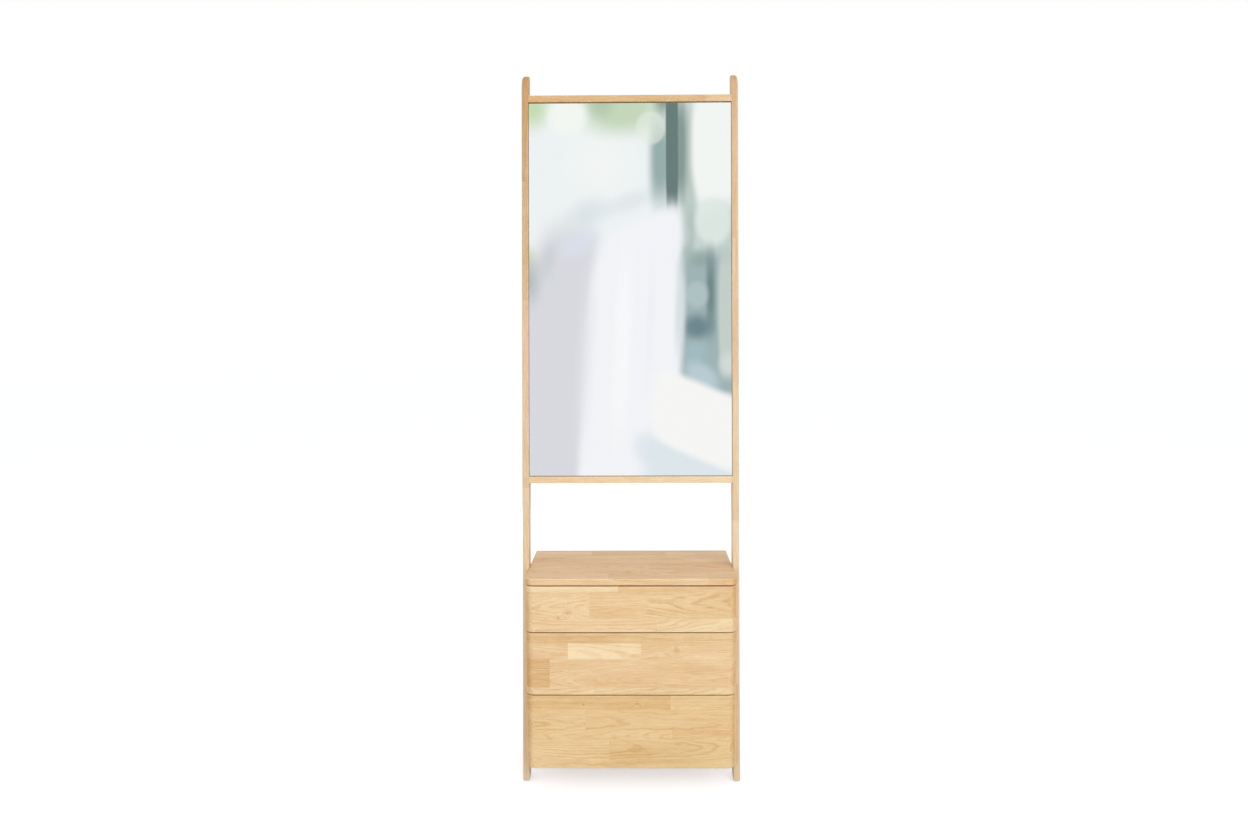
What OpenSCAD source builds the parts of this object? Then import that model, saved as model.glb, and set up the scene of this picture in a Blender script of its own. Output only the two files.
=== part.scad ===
// Leaning mirror with a chest of three drawers between its uprights.
// The front faces -Y, the wall is at +Y, and the origin is on the floor under the middle.
// Leaned pieces are drawn in the mirror frame's own axes: X across, Y from the frame's
// front face backwards and Z along the uprights, and then tilted back as one.

/* [Overall] */
// Width over both uprights
overall_w = 600; // [520:1:760]
// Height of the tops of the uprights above the floor
overall_h = 1950; // [1750:1:2000]
// Depth from the drawer fronts to the wall
overall_d = 306; // [300:1:380]
// Backward lean of the mirror frame, in degrees
lean = 6; // [5:0.1:7]

/* [Boards] */
// Thickness of the solid oak boards
board = 18; // [17:0.5:20]
// Radius of the upright front corners of the shelf and drawer fronts, seen from above
corner_r = 23; // [6:0.5:28]

/* [Uprights and rails] */
// Depth of the uprights and rails, from front face to back face
upright_d = 48; // [44:1:60]
// Radius of the front corner at the top of each upright
top_round = 44; // [10:1:44]
// How far the uprights stand above the top rail
ear = 66; // [30:1:120]
// Distance of the lower rail from the floor, along the uprights
lower_rail_s = 824; // [700:1:1000]
// Diameter of the dowels that join the rails to the uprights
rail_dowel_d = 6; // [5:0.5:8]
// Distance of the front dowels behind the frame's front face
rail_dowel_front = 7; // [5:0.5:9]
// Distance of the rear dowels behind the frame's front face
rail_dowel_rear = 36; // [26:1:40]
// Depth of each rail dowel in the upright
rail_dowel_in_upright = 12; // [8:1:14]
// Depth of each rail dowel in the rail
rail_dowel_in_rail = 18; // [12:1:30]

/* [Mirror] */
// Distance of the glass behind the front face of its frame
mirror_set = 8; // [6:1:14]
// Thickness of the mirror glass
glass_t = 4; // [3:0.5:6]
// Thickness of the panel behind the glass
backing_t = 5; // [3:0.5:8]
// Depth of the rebate that holds the glass, into the uprights and rails
rebate = 8; // [6:0.5:9]
// Width of the glazing beads, across the rebate
bead_w = 12; // [10:0.5:20]
// Thickness of the glazing beads, from front to back
bead_t = 10; // [8:0.5:14]
// Diameter of the pins that hold the beads
bead_pin_d = 2.4; // [2:0.1:3]
// Depth of the bead pins in the frame, past the bead
bead_pin_in = 5; // [3:0.5:6]
// Number of pins in each side bead
side_pins = 5; // [3:1:8]
// Number of pins in each end bead
end_pins = 3; // [2:1:5]
// Distance of the outer pins from the ends of a bead
pin_margin = 60; // [30:1:100]

/* [Feet] */
// Thickness of the felt pads under the feet
pad_t = 2; // [1:0.5:4]
// Width of the felt pads
pad_w = 14; // [10:1:16]
// Length of the felt pads, from front to back
pad_l = 38; // [20:1:40]
// Length of the rear legs, from front to back
leg_l = 48; // [40:1:70]

/* [Wall] */
// Diameter of the rubber bumpers that meet the wall
bumper_d = 14; // [10:1:17]
// Space between the tops of the uprights and the wall
wall_gap = 2.5; // [1:0.5:6]
// Distance of the bumpers below the tops of the uprights
bumper_drop = 30; // [20:1:60]

/* [Chest] */
// Height of the underside of the chest above the floor
box_z = 64; // [50:1:90]
// Height of the bottom drawer front
bottom_front_h = 203; // [180:1:220]
// Height of the middle drawer front
middle_front_h = 169; // [150:1:180]
// Height of the top drawer front
top_front_h = 124; // [120:1:140]
// Gap between one drawer front and the next, and under the shelf
front_gap = 3; // [2:0.5:5]
// Space between a closed drawer front and the edge of the chest
close_gap = 0.5; // [0.3:0.1:1]
// Thickness of the back panel of the chest
chest_back_t = 6; // [4:0.5:9]
// Width of the rebate for the back panel in the sides of the chest
back_lap = 10; // [8:0.5:12]
// Diameter of the dowels of the chest
dowel_d = 8; // [6:0.5:10]
// Depth of a dowel in the edge of a board
dowel_in_edge = 20; // [14:1:24]
// Depth of a dowel in the face of a board
dowel_in_face = 12; // [8:1:14]
// Distance of the outer dowels from the front and back of the chest
dowel_margin = 54; // [50:1:80]
// Number of screws in each side of the back panel
back_screws = 4; // [3:1:6]
// Distance of the outer screws from the ends of the back panel
back_screw_margin = 45; // [30:1:60]
// Diameter of the shanks of the back panel screws
back_screw_d = 3; // [2.5:0.1:4]
// Length of the back panel screws
back_screw_l = 20; // [16:1:30]

/* [Chest bolts] */
// Diameter of the bolts that hold the chest to the uprights
bolt_d = 6; // [5:0.5:8]
// Depth of the bolts in the uprights
bolt_in_upright = 12; // [10:0.5:13]
// Diameter of the bolt heads
bolt_head_d = 13; // [11:0.5:16]
// Height of the bolt heads
bolt_head_h = 2.5; // [2:0.5:4]
// Outer diameter of the threaded inserts
insert_d = 9; // [8.5:0.5:11]
// Length of the threaded inserts
insert_l = 13; // [13:0.5:15]
// Height of the lowest bolts above the floor
low_bolt_z = 200; // [150:1:230]
// Height of the middle bolts above the floor
middle_bolt_z = 400; // [360:1:430]
// Distance of the highest bolts below the underside of the shelf
high_bolt_drop = 21; // [18:1:28]

/* [Drawers] */
// Thickness of the drawer sides and backs
drawer_board = 12; // [10:0.5:14]
// Space behind a closed drawer, in front of the back panel of the chest
drawer_rear = 22; // [10:1:40]
// Distance of the drawer box above the lower edge of its front
drawer_up = 22; // [20:1:30]
// Distance of the drawer box below the upper edge of its front
drawer_down = 20; // [10:1:30]
// Thickness of the drawer bottoms
bottom_t = 5; // [4:0.5:8]
// Height of a drawer bottom above the lower edge of the drawer sides
bottom_up = 10; // [6:0.5:14]
// Depth of the grooves that hold the drawer bottoms
groove = 6; // [4:0.5:7]
// Diameter of the screws of the drawer boxes
drawer_screw_d = 4; // [3:0.5:5]
// Distance of these screws from the upper and lower edges of the drawer box
drawer_screw_edge = 24; // [20:1:28]
// Depth of the double-ended screws in the drawer front
front_screw_in = 12; // [8:0.5:14]
// Depth of the drawer screws in the end of a side or back
end_screw_in = 24; // [16:1:30]

/* [Runners] */
// Thickness of a runner, from the side of the chest to the side of the drawer
runner_t = 12.7; // [12.7:0.1:15]
// Height of a runner
runner_h = 35; // [33:0.5:45]
// How far the runners end before the back of the drawer
runner_end = 6; // [2:0.5:20]
// Thickness of the sheet steel of the runners
sheet = 1.2; // [1:0.1:1.4]
// Height of the middle of a runner above the lower edge of the drawer sides
runner_up = 30; // [26:1:34]
// Distance of the runners behind the drawer fronts
runner_in = 4; // [2:0.5:6]
// Height of the lips that keep one member in the next
lip = 1.8; // [1.2:0.1:2.4]
// Space between the open side of the fixed member and the drawer
runner_mouth = 2.3; // [2:0.1:3]
// Running clearance between the members
play = 0.3; // [0.2:0.05:0.4]
// Diameter of the runner screws
runner_screw_d = 3.5; // [3:0.5:4]
// Diameter of the heads of the runner screws
runner_head_d = 6.5; // [6:0.5:8]
// Height of the heads of the runner screws
runner_head_h = 2; // [1.5:0.1:2.2]
// Depth of the runner screws in the wood
runner_screw_in = 10; // [8:0.5:10]
// Distance of the runner screws from the ends of a runner
runner_screw_end = 35; // [25:1:60]

/* [Hidden] */
$fn = 64;
// Clearance of a dowel, screw or pin in its hole, on the radius
fit = 0.1;
// Extra length of a cutting shape past the face that it cuts
past = 1;
// Clearance of panels in their grooves and rebates
slack = 0.3;

front_y = -overall_d / 2;
wall_y = overall_d / 2;
inner_x = overall_w / 2 - board;
chest_x = inner_x - board;
chest_y = front_y + board + close_gap;
drawer_y = front_y + board;

upright_r = min(top_round, upright_d - 4);
upright_l = upright_r + (overall_h - upright_r * (1 - sin(lean))) / cos(lean);
foot_y = wall_y - wall_gap - upright_l * sin(lean) - upright_d * cos(lean);
top_rail_s = upright_l - ear - board;
rebate_s0 = lower_rail_s + board - rebate;
rebate_s1 = top_rail_s + rebate;
rebate_x = inner_x + rebate;
backing_y = mirror_set + glass_t;
bead_y = backing_y + backing_t;
bead_inner_x = rebate_x - bead_w;
lower_dowel_s = lower_rail_s + (board - rebate) / 2;
top_dowel_s = top_rail_s + board - (board - rebate) / 2;

front_heights = [bottom_front_h, middle_front_h, top_front_h];
front_zs = [box_z, box_z + bottom_front_h + front_gap,
            box_z + bottom_front_h + middle_front_h + 2 * front_gap];
shelf_z = front_zs[2] + top_front_h + front_gap;
chest_back_y = wall_y - chest_back_t;
back_edge_x = chest_x + back_lap;
back_screw_x = chest_x + back_lap / 2;
leg_y = wall_y - leg_l;
leg_dowels = [leg_y + leg_l / 4, wall_y - leg_l / 4];
dowel_ys = [front_y + dowel_margin, 0, wall_y - dowel_margin];
side_mid_x = (chest_x + inner_x) / 2;
bolt_zs = [low_bolt_z, middle_bolt_z, shelf_z - high_bolt_drop];
upright_mid_x = overall_w / 2 - board / 2;
front_pad_y = foot_y + pad_t * tan(lean) + upright_d / cos(lean) / 2;
rear_pad_y = wall_y - leg_l / 2;

drawer_x = chest_x - runner_t;
drawer_inner_x = drawer_x - drawer_board;
drawer_end_y = chest_back_y - drawer_rear;
runner_y = drawer_y + runner_in;
runner_l = drawer_end_y - runner_end - runner_y;
runner_screw_ys = [runner_y + runner_screw_end, runner_y + runner_l - runner_screw_end];
outer_w = runner_t - runner_mouth;
outer_half = runner_h / 2;
middle_half = outer_half - sheet - play;
middle_x0 = sheet + play;
middle_x1 = outer_w - sheet - play;
web_x = middle_x0 + runner_head_h + play + 0.6;
inner_half = middle_half - sheet - play;
hat_half = middle_half - sheet - lip - 2 * play;
hat_foot_x = middle_x1 - sheet - play;

oak = [0.91, 0.78, 0.60];
pale_oak = [0.94, 0.83, 0.67];
birch = [0.93, 0.87, 0.76];
steel = [0.74, 0.76, 0.78];
brass = [0.78, 0.66, 0.38];
black = [0.12, 0.12, 0.13];

// Height of the lower edge of drawer box i above the floor
function drawer_z(i) = front_zs[i] + drawer_up;
// Height of the sides of drawer box i
function drawer_h(i) = front_heights[i] - drawer_up - drawer_down;
// Height of the middle of the runners of drawer i above the floor
function runner_z(i) = drawer_z(i) + runner_up;
// Evenly spaced places from a to b
function spread(a, b, n) = [for (k = [0 : n - 1]) a + (b - a) * k / (n - 1)];
// Place along Y of the middle of the upright at height z
function upright_mid_y(z) = foot_y + z * tan(lean) + upright_d / cos(lean) / 2;

// Tilts the children back with the mirror frame
module leaned() {
    translate([0, foot_y, 0]) rotate([-lean, 0, 0]) children();
}

// Draws the children twice, as they are and mirrored to the other side
module both_sides() {
    children();
    mirror([1, 0, 0]) children();
}

// A block that spans from one corner to the other
module block(low, high) {
    translate(low) cube(high - low);
}

// A rod along X from x0 to x1, at y and z
module rod_x(x0, x1, y, z, r) {
    translate([x0, y, z]) rotate([0, 90, 0]) cylinder(h = x1 - x0, r = r);
}

// A rod along Y from y0 to y1, at x and z
module rod_y(y0, y1, x, z, r) {
    translate([x, y0, z]) rotate([-90, 0, 0]) cylinder(h = y1 - y0, r = r);
}

// A rod along Z from z0 to z1, at x and y
module rod_z(z0, z1, x, y, r) {
    translate([x, y, z0]) cylinder(h = z1 - z0, r = r);
}

// Outline of a board whose two front corners are rounded, its front on the X axis
module rounded_front(w, d, r) {
    intersection() {
        translate([-w / 2, 0]) square([w, d]);
        union() {
            translate([-w / 2, r]) square([w, d]);
            translate([-w / 2 + r, 0]) square([w - 2 * r, d]);
            for (x = [-1, 1]) translate([x * (w / 2 - r), r]) circle(r);
        }
    }
}

// Side view of an upright, with its rounded top front corner
module upright_outline() {
    intersection() {
        square([upright_d, upright_l]);
        union() {
            square([upright_d, upright_l - upright_r]);
            translate([upright_r, 0]) square([upright_d, upright_l]);
            translate([upright_r, upright_l - upright_r]) circle(upright_r);
        }
    }
}

// Dowels of the rails at the left end, thicker by extra for their holes
module left_rail_dowels(extra) {
    x0 = -inner_x - rail_dowel_in_upright - extra;
    x1 = -inner_x + rail_dowel_in_rail + extra;
    for (s = [lower_dowel_s, top_dowel_s], y = [rail_dowel_front, rail_dowel_rear])
        leaned() rod_x(x0, x1, y, s, rail_dowel_d / 2 + extra);
}

// Pins of the left side bead
module left_bead_pins(extra) {
    for (s = spread(rebate_s0 + pin_margin, rebate_s1 - pin_margin, side_pins))
        leaned() rod_x(-rebate_x - bead_pin_in - extra, -bead_inner_x,
                       bead_y + bead_t / 2, s, bead_pin_d / 2 + extra);
}

// Pins of both end beads
module end_bead_pins(extra) {
    for (x = spread(-bead_inner_x + pin_margin, bead_inner_x - pin_margin, end_pins)) {
        leaned() rod_z(rebate_s0 - bead_pin_in - extra, rebate_s0 + bead_w,
                       x, bead_y + bead_t / 2, bead_pin_d / 2 + extra);
        leaned() rod_z(rebate_s1 - bead_w, rebate_s1 + bead_pin_in + extra,
                       x, bead_y + bead_t / 2, bead_pin_d / 2 + extra);
    }
}

// The left upright stands plumb in width, leans back and is cut level at the floor
module left_upright() {
    color(oak) difference() {
        intersection() {
            leaned() translate([-overall_w / 2, 0, 0]) rotate([90, 0, 90])
                linear_extrude(board) upright_outline();
            block([-overall_w, -overall_d, pad_t], [overall_w, overall_d, overall_h + past]);
        }
        leaned() block([-rebate_x, mirror_set, rebate_s0],
                       [-inner_x + past, upright_d + past, rebate_s1]);
        left_rail_dowels(fit);
        left_bead_pins(fit);
        for (z = bolt_zs)
            rod_x(-inner_x - insert_l - fit, -inner_x + past, upright_mid_y(z), z, insert_d / 2 + fit);
    }
}

module right_upright() {
    mirror([1, 0, 0]) left_upright();
}

// The top rail, rebated for the glass along its lower back edge
module top_rail() {
    color(oak) difference() {
        leaned() difference() {
            block([-inner_x, 0, top_rail_s], [inner_x, upright_d, top_rail_s + board]);
            block([-inner_x - past, mirror_set, top_rail_s - past],
                  [inner_x + past, upright_d + past, rebate_s1]);
        }
        both_sides() left_rail_dowels(fit);
        end_bead_pins(fit);
    }
}

// The lower rail, rebated for the glass along its upper back edge
module lower_rail() {
    color(oak) difference() {
        leaned() difference() {
            block([-inner_x, 0, lower_rail_s], [inner_x, upright_d, lower_rail_s + board]);
            block([-inner_x - past, mirror_set, rebate_s0],
                  [inner_x + past, upright_d + past, lower_rail_s + board + past]);
        }
        both_sides() left_rail_dowels(fit);
        end_bead_pins(fit);
    }
}

// A panel that fills the rebate of the frame, from y0 to y1 behind its front face
module rebate_panel(y0, y1) {
    leaned() block([-rebate_x + slack, y0, rebate_s0 + slack],
                   [rebate_x - slack, y1, rebate_s1 - slack]);
}

module mirror_glass() {
    color([0.82, 0.88, 0.88]) rebate_panel(mirror_set, backing_y);
}

module mirror_backing() {
    color([0.45, 0.33, 0.22]) rebate_panel(backing_y, bead_y);
}

module side_beads() {
    color(oak) both_sides() difference() {
        leaned() block([-rebate_x, bead_y, rebate_s0], [-bead_inner_x, bead_y + bead_t, rebate_s1]);
        left_bead_pins(fit);
    }
}

module end_beads() {
    color(oak) difference() {
        leaned() for (s = [rebate_s0, rebate_s1 - bead_w])
            block([-bead_inner_x, bead_y, s], [bead_inner_x, bead_y + bead_t, s + bead_w]);
        end_bead_pins(fit);
    }
}

module bead_pins() {
    color(steel) {
        both_sides() left_bead_pins(0);
        end_bead_pins(0);
    }
}

module rail_dowels() {
    color(birch) both_sides() left_rail_dowels(0);
}

// Felt pads under the uprights and the rear legs
module foot_pads() {
    color(black) both_sides() {
        for (p = [[-upright_mid_x, front_pad_y], [-side_mid_x, rear_pad_y]])
            block([p.x - pad_w / 2, p.y - pad_l / 2, 0], [p.x + pad_w / 2, p.y + pad_l / 2, pad_t]);
    }
}

// Rubber bumpers that fill the wedge between the leaning uprights and the wall
module wall_bumpers() {
    color(black) both_sides() difference() {
        rod_y(wall_y - bumper_d, wall_y, -upright_mid_x, overall_h - bumper_drop, bumper_d / 2);
        leaned() block([-overall_w, -upright_d, 0], [0, upright_d, 2 * upright_l]);
    }
}

// Dowels between the left side, the shelf, the bottom and the rear leg of the chest
module left_chest_dowels(extra) {
    r = dowel_d / 2 + extra;
    for (y = dowel_ys) {
        rod_z(shelf_z - dowel_in_edge - extra, shelf_z + dowel_in_face + extra, -side_mid_x, y, r);
        rod_x(-chest_x - dowel_in_face - extra, -chest_x + dowel_in_edge + extra,
              y, box_z + board / 2, r);
    }
    for (y = leg_dowels)
        rod_z(box_z - dowel_in_edge - extra, box_z + dowel_in_edge + extra, -side_mid_x, y, r);
}

module chest_dowels() {
    color(birch) both_sides() left_chest_dowels(0);
}

// The shelf is the top board of the chest
module shelf() {
    color(oak) difference() {
        translate([0, front_y, shelf_z]) linear_extrude(board)
            rounded_front(2 * inner_x, overall_d, corner_r);
        both_sides() left_chest_dowels(fit);
    }
}

// Screws along the left edge of the back panel, with sunk heads
module left_back_screws(extra) {
    for (z = spread(box_z + back_screw_margin, shelf_z - back_screw_margin, back_screws)) {
        rod_y(wall_y - back_screw_l - extra, wall_y, -back_screw_x, z, back_screw_d / 2 + extra);
        translate([-back_screw_x, wall_y - back_screw_d, z]) rotate([-90, 0, 0])
            cylinder(h = back_screw_d, r1 = back_screw_d / 2 + extra, r2 = back_screw_d + extra);
    }
}

// The left side of the chest, rebated at the back and drilled for every fixing
module chest_left_side() {
    color(oak) difference() {
        block([-inner_x, chest_y, box_z], [-chest_x, wall_y, shelf_z]);
        block([-back_edge_x, chest_back_y, box_z - past], [-chest_x + past, wall_y + past, shelf_z + past]);
        left_chest_dowels(fit);
        left_back_screws(fit);
        for (z = bolt_zs)
            rod_x(-inner_x - past, -chest_x + past, upright_mid_y(z), z, bolt_d / 2 + fit);
        for (i = [0 : 2], y = runner_screw_ys)
            rod_x(-chest_x - runner_screw_in - fit, -chest_x + past, y, runner_z(i),
                  runner_screw_d / 2 + fit);
    }
}

module chest_right_side() {
    mirror([1, 0, 0]) chest_left_side();
}

module chest_bottom() {
    color(oak) difference() {
        block([-chest_x, chest_y, box_z], [chest_x, chest_back_y, box_z + board]);
        both_sides() left_chest_dowels(fit);
    }
}

module chest_back() {
    color(birch) difference() {
        block([-back_edge_x + slack, chest_back_y, box_z], [back_edge_x - slack, wall_y, shelf_z]);
        both_sides() left_back_screws(fit);
    }
}

module back_panel_screws() {
    color(steel) both_sides() left_back_screws(0);
}

module left_rear_leg() {
    color(oak) difference() {
        block([-inner_x, leg_y, pad_t], [-chest_x, wall_y, box_z]);
        left_chest_dowels(fit);
    }
}

module right_rear_leg() {
    mirror([1, 0, 0]) left_rear_leg();
}

// Bolts through the sides of the chest, with flat heads inside it
module chest_bolts() {
    color(steel) both_sides() for (z = bolt_zs) {
        rod_x(-inner_x - bolt_in_upright, -chest_x, upright_mid_y(z), z, bolt_d / 2);
        rod_x(-chest_x, -chest_x + bolt_head_h, upright_mid_y(z), z, bolt_head_d / 2);
    }
}

module threaded_inserts() {
    color(brass) both_sides() for (z = bolt_zs) difference() {
        rod_x(-inner_x - insert_l, -inner_x, upright_mid_y(z), z, insert_d / 2);
        rod_x(-inner_x - insert_l - past, -inner_x + past, upright_mid_y(z), z, bolt_d / 2 + fit);
    }
}

// A runner screw whose head rests on the plane x and whose shank runs towards -X
module runner_screw(x, y, z, shank_l) {
    rod_x(x - shank_l, x, y, z, runner_screw_d / 2);
    rod_x(x, x + runner_head_h, y, z, runner_head_d / 2);
}

// Screws that hold the fixed members of the runners to the chest
module runner_screws() {
    color(steel) both_sides() for (i = [0 : 2], y = runner_screw_ys)
        runner_screw(-chest_x + sheet, y, runner_z(i), runner_screw_in + sheet);
}

// Places a runner member that is drawn in section at the left of drawer i
module left_runner(i) {
    color(steel) translate([-chest_x, runner_y + runner_l, runner_z(i)]) rotate([90, 0, 0])
        linear_extrude(runner_l) children();
}

// Fixed member: a channel with lips, on the side of the chest
module left_fixed_runner(i) {
    cavity = outer_half - sheet;
    difference() {
        left_runner(i) difference() {
            translate([0, -outer_half]) square([outer_w, 2 * outer_half]);
            translate([sheet, -cavity]) square([outer_w - 2 * sheet, 2 * cavity]);
            translate([sheet, -cavity + lip]) square([outer_w, 2 * (cavity - lip)]);
        }
        for (y = runner_screw_ys)
            rod_x(-chest_x - past, -chest_x + sheet + past, y, runner_z(i), runner_screw_d / 2 + fit);
    }
}

// Middle member: its web between two lipped flanges, inside the fixed member
module left_middle_runner(i) {
    left_runner(i) for (m = [0, 1]) mirror([0, m]) {
        translate([web_x, 0]) square([sheet, middle_half]);
        translate([middle_x0, middle_half - sheet]) square([middle_x1 - middle_x0, sheet]);
        translate([middle_x1 - sheet, middle_half - sheet - lip]) square([sheet, sheet + lip]);
    }
}

// Drawer member: a hat section on the side of the drawer, inside the middle member
module left_drawer_runner(i) {
    difference() {
        left_runner(i) for (m = [0, 1]) mirror([0, m]) {
            translate([runner_t - sheet, 0]) square([sheet, hat_half]);
            translate([hat_foot_x - sheet, hat_half - sheet]) square([runner_t - hat_foot_x + sheet, sheet]);
            translate([hat_foot_x - sheet, hat_half - sheet]) square([sheet, inner_half - hat_half + sheet]);
        }
        for (y = runner_screw_ys)
            rod_x(-drawer_x - sheet - past, -drawer_x + past, y, runner_z(i), runner_screw_d / 2 + fit);
    }
}

// Groove and panel space of the bottom of drawer i, larger by extra
module drawer_bottom_space(i, extra) {
    z = drawer_z(i) + bottom_up;
    block([-drawer_inner_x - groove - extra, drawer_y - groove - extra, z - extra],
          [drawer_inner_x + groove + extra, drawer_end_y + extra, z + bottom_t + extra]);
}

// Double-ended screws that hold the front of drawer i to its left side
module left_front_screws(i, extra) {
    for (z = [drawer_z(i) + drawer_screw_edge, drawer_z(i) + drawer_h(i) - drawer_screw_edge])
        rod_y(drawer_y - front_screw_in - extra, drawer_y + end_screw_in + extra,
              -drawer_x + drawer_board / 2, z, drawer_screw_d / 2 + extra);
}

// Screws through the left side of drawer i into its back
module left_back_end_screws(i, extra) {
    for (z = [drawer_z(i) + drawer_screw_edge, drawer_z(i) + drawer_h(i) - drawer_screw_edge])
        rod_x(-drawer_x, -drawer_x + end_screw_in + extra, drawer_end_y - drawer_board / 2, z,
              drawer_screw_d / 2 + extra);
}

// Screws that hold the drawer member of the left runner to drawer i
module left_drawer_runner_screws(i) {
    for (y = runner_screw_ys) mirror([1, 0, 0])
        runner_screw(drawer_x + sheet, y, runner_z(i), runner_screw_in + sheet);
}

module drawer_front(i) {
    color(pale_oak) difference() {
        translate([0, front_y, front_zs[i]]) linear_extrude(front_heights[i])
            rounded_front(2 * inner_x, board, corner_r);
        drawer_bottom_space(i, slack);
        both_sides() left_front_screws(i, fit);
    }
}

module drawer_left_side(i) {
    color(birch) difference() {
        block([-drawer_x, drawer_y, drawer_z(i)], [-drawer_inner_x, drawer_end_y, drawer_z(i) + drawer_h(i)]);
        drawer_bottom_space(i, slack);
        left_front_screws(i, fit);
        left_back_end_screws(i, fit);
        for (y = runner_screw_ys)
            rod_x(-drawer_x - past, -drawer_x + runner_screw_in + fit, y, runner_z(i),
                  runner_screw_d / 2 + fit);
    }
}

module drawer_right_side(i) {
    mirror([1, 0, 0]) drawer_left_side(i);
}

// The back of a drawer stands on the drawer bottom, which runs out under it
module drawer_back(i) {
    color(birch) difference() {
        block([-drawer_inner_x, drawer_end_y - drawer_board, drawer_z(i) + bottom_up + bottom_t + slack],
              [drawer_inner_x, drawer_end_y, drawer_z(i) + drawer_h(i)]);
        both_sides() left_back_end_screws(i, fit);
    }
}

module drawer_bottom(i) {
    color(birch) drawer_bottom_space(i, 0);
}

module drawer_screws(i) {
    color(steel) both_sides() {
        left_front_screws(i, 0);
        left_back_end_screws(i, 0);
        left_drawer_runner_screws(i);
    }
}

left_upright();
right_upright();
top_rail();
lower_rail();
mirror_glass();
mirror_backing();
side_beads();
end_beads();
bead_pins();
rail_dowels();
wall_bumpers();
foot_pads();
shelf();
chest_left_side();
chest_right_side();
chest_bottom();
chest_back();
left_rear_leg();
right_rear_leg();
chest_dowels();
chest_bolts();
threaded_inserts();
back_panel_screws();
runner_screws();

drawer_front(0);  // bottom_drawer_front
drawer_left_side(0);  // bottom_drawer_left_side
drawer_right_side(0);  // bottom_drawer_right_side
drawer_back(0);  // bottom_drawer_back
drawer_bottom(0);  // bottom_drawer_bottom
drawer_screws(0);  // bottom_drawer_screws
drawer_front(1);  // middle_drawer_front
drawer_left_side(1);  // middle_drawer_left_side
drawer_right_side(1);  // middle_drawer_right_side
drawer_back(1);  // middle_drawer_back
drawer_bottom(1);  // middle_drawer_bottom
drawer_screws(1);  // middle_drawer_screws
drawer_front(2);  // top_drawer_front
drawer_left_side(2);  // top_drawer_left_side
drawer_right_side(2);  // top_drawer_right_side
drawer_back(2);  // top_drawer_back
drawer_bottom(2);  // top_drawer_bottom
drawer_screws(2);  // top_drawer_screws

left_fixed_runner(0);  // bottom_left_fixed_runner
left_middle_runner(0);  // bottom_left_middle_runner
left_drawer_runner(0);  // bottom_left_drawer_runner
mirror([1, 0, 0]) left_fixed_runner(0);  // bottom_right_fixed_runner
mirror([1, 0, 0]) left_middle_runner(0);  // bottom_right_middle_runner
mirror([1, 0, 0]) left_drawer_runner(0);  // bottom_right_drawer_runner
left_fixed_runner(1);  // middle_left_fixed_runner
left_middle_runner(1);  // middle_left_middle_runner
left_drawer_runner(1);  // middle_left_drawer_runner
mirror([1, 0, 0]) left_fixed_runner(1);  // middle_right_fixed_runner
mirror([1, 0, 0]) left_middle_runner(1);  // middle_right_middle_runner
mirror([1, 0, 0]) left_drawer_runner(1);  // middle_right_drawer_runner
left_fixed_runner(2);  // top_left_fixed_runner
left_middle_runner(2);  // top_left_middle_runner
left_drawer_runner(2);  // top_left_drawer_runner
mirror([1, 0, 0]) left_fixed_runner(2);  // top_right_fixed_runner
mirror([1, 0, 0]) left_middle_runner(2);  // top_right_middle_runner
mirror([1, 0, 0]) left_drawer_runner(2);  // top_right_drawer_runner
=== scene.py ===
"""Leaning mirror with drawers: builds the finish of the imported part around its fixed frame."""
import math

import bmesh
import bpy
import numpy as np
from bpy.props import FloatProperty, FloatVectorProperty, PointerProperty
from mathutils import Matrix, Vector


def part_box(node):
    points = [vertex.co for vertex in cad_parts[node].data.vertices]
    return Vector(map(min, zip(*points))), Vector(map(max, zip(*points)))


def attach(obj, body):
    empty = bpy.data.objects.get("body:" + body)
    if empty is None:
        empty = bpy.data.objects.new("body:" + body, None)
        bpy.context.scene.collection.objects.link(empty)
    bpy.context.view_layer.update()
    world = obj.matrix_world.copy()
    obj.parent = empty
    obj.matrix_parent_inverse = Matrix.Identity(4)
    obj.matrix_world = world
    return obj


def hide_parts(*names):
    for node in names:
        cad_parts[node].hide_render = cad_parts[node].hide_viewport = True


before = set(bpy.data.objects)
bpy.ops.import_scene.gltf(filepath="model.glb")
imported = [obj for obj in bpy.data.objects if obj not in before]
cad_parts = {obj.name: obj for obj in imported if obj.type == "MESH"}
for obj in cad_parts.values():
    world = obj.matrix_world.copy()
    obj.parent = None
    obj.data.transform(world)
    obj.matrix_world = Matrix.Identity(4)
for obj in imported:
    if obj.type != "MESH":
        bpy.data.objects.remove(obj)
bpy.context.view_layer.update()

bl_info = {
    "name": "Leaning mirror with drawers",
    "version": (1, 0, 0),
    "blender": (4, 5, 0),
    "location": "3D View > Sidebar > Mirror",
    "description": "Oak, mirror glass, runners and studio of a leaning mirror with drawers",
    "category": "Object",
}

MM = 0.001
WELD = 0.01 * MM  # points closer than this become one
ON_CUT = 1e-7  # points closer than this to a cutting plane lie on it
HAIR = 0.1 * MM  # a difference in size that counts as none
NEAR = 1 * MM  # what is closer than this to a plane counts as lying on it
SLACK = 0.3 * MM  # room in a groove round the panel that it holds
SHARP = math.radians(40)  # edges that turn more than this are rounded
END = 9  # past the end of every board, for the last stave of a row
ROWS = ("bottom", "middle", "top")
SIDES = ("left", "right")
X, Y, Z = 0, 1, 2
X_WAY, Y_WAY, Z_WAY = (1, 0, 0), (0, 1, 0), (0, 0, 1)


def srgb(red, green, blue):
    """A colour as it looks on screen, 0 to 255, in the linear values of a shader."""
    return tuple(c / 12.92 if c <= 0.04045 else ((c + 0.055) / 1.055) ** 2.4
                 for c in (v / 255 for v in (red, green, blue)))


# ---- places read from the frame ----

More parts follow.
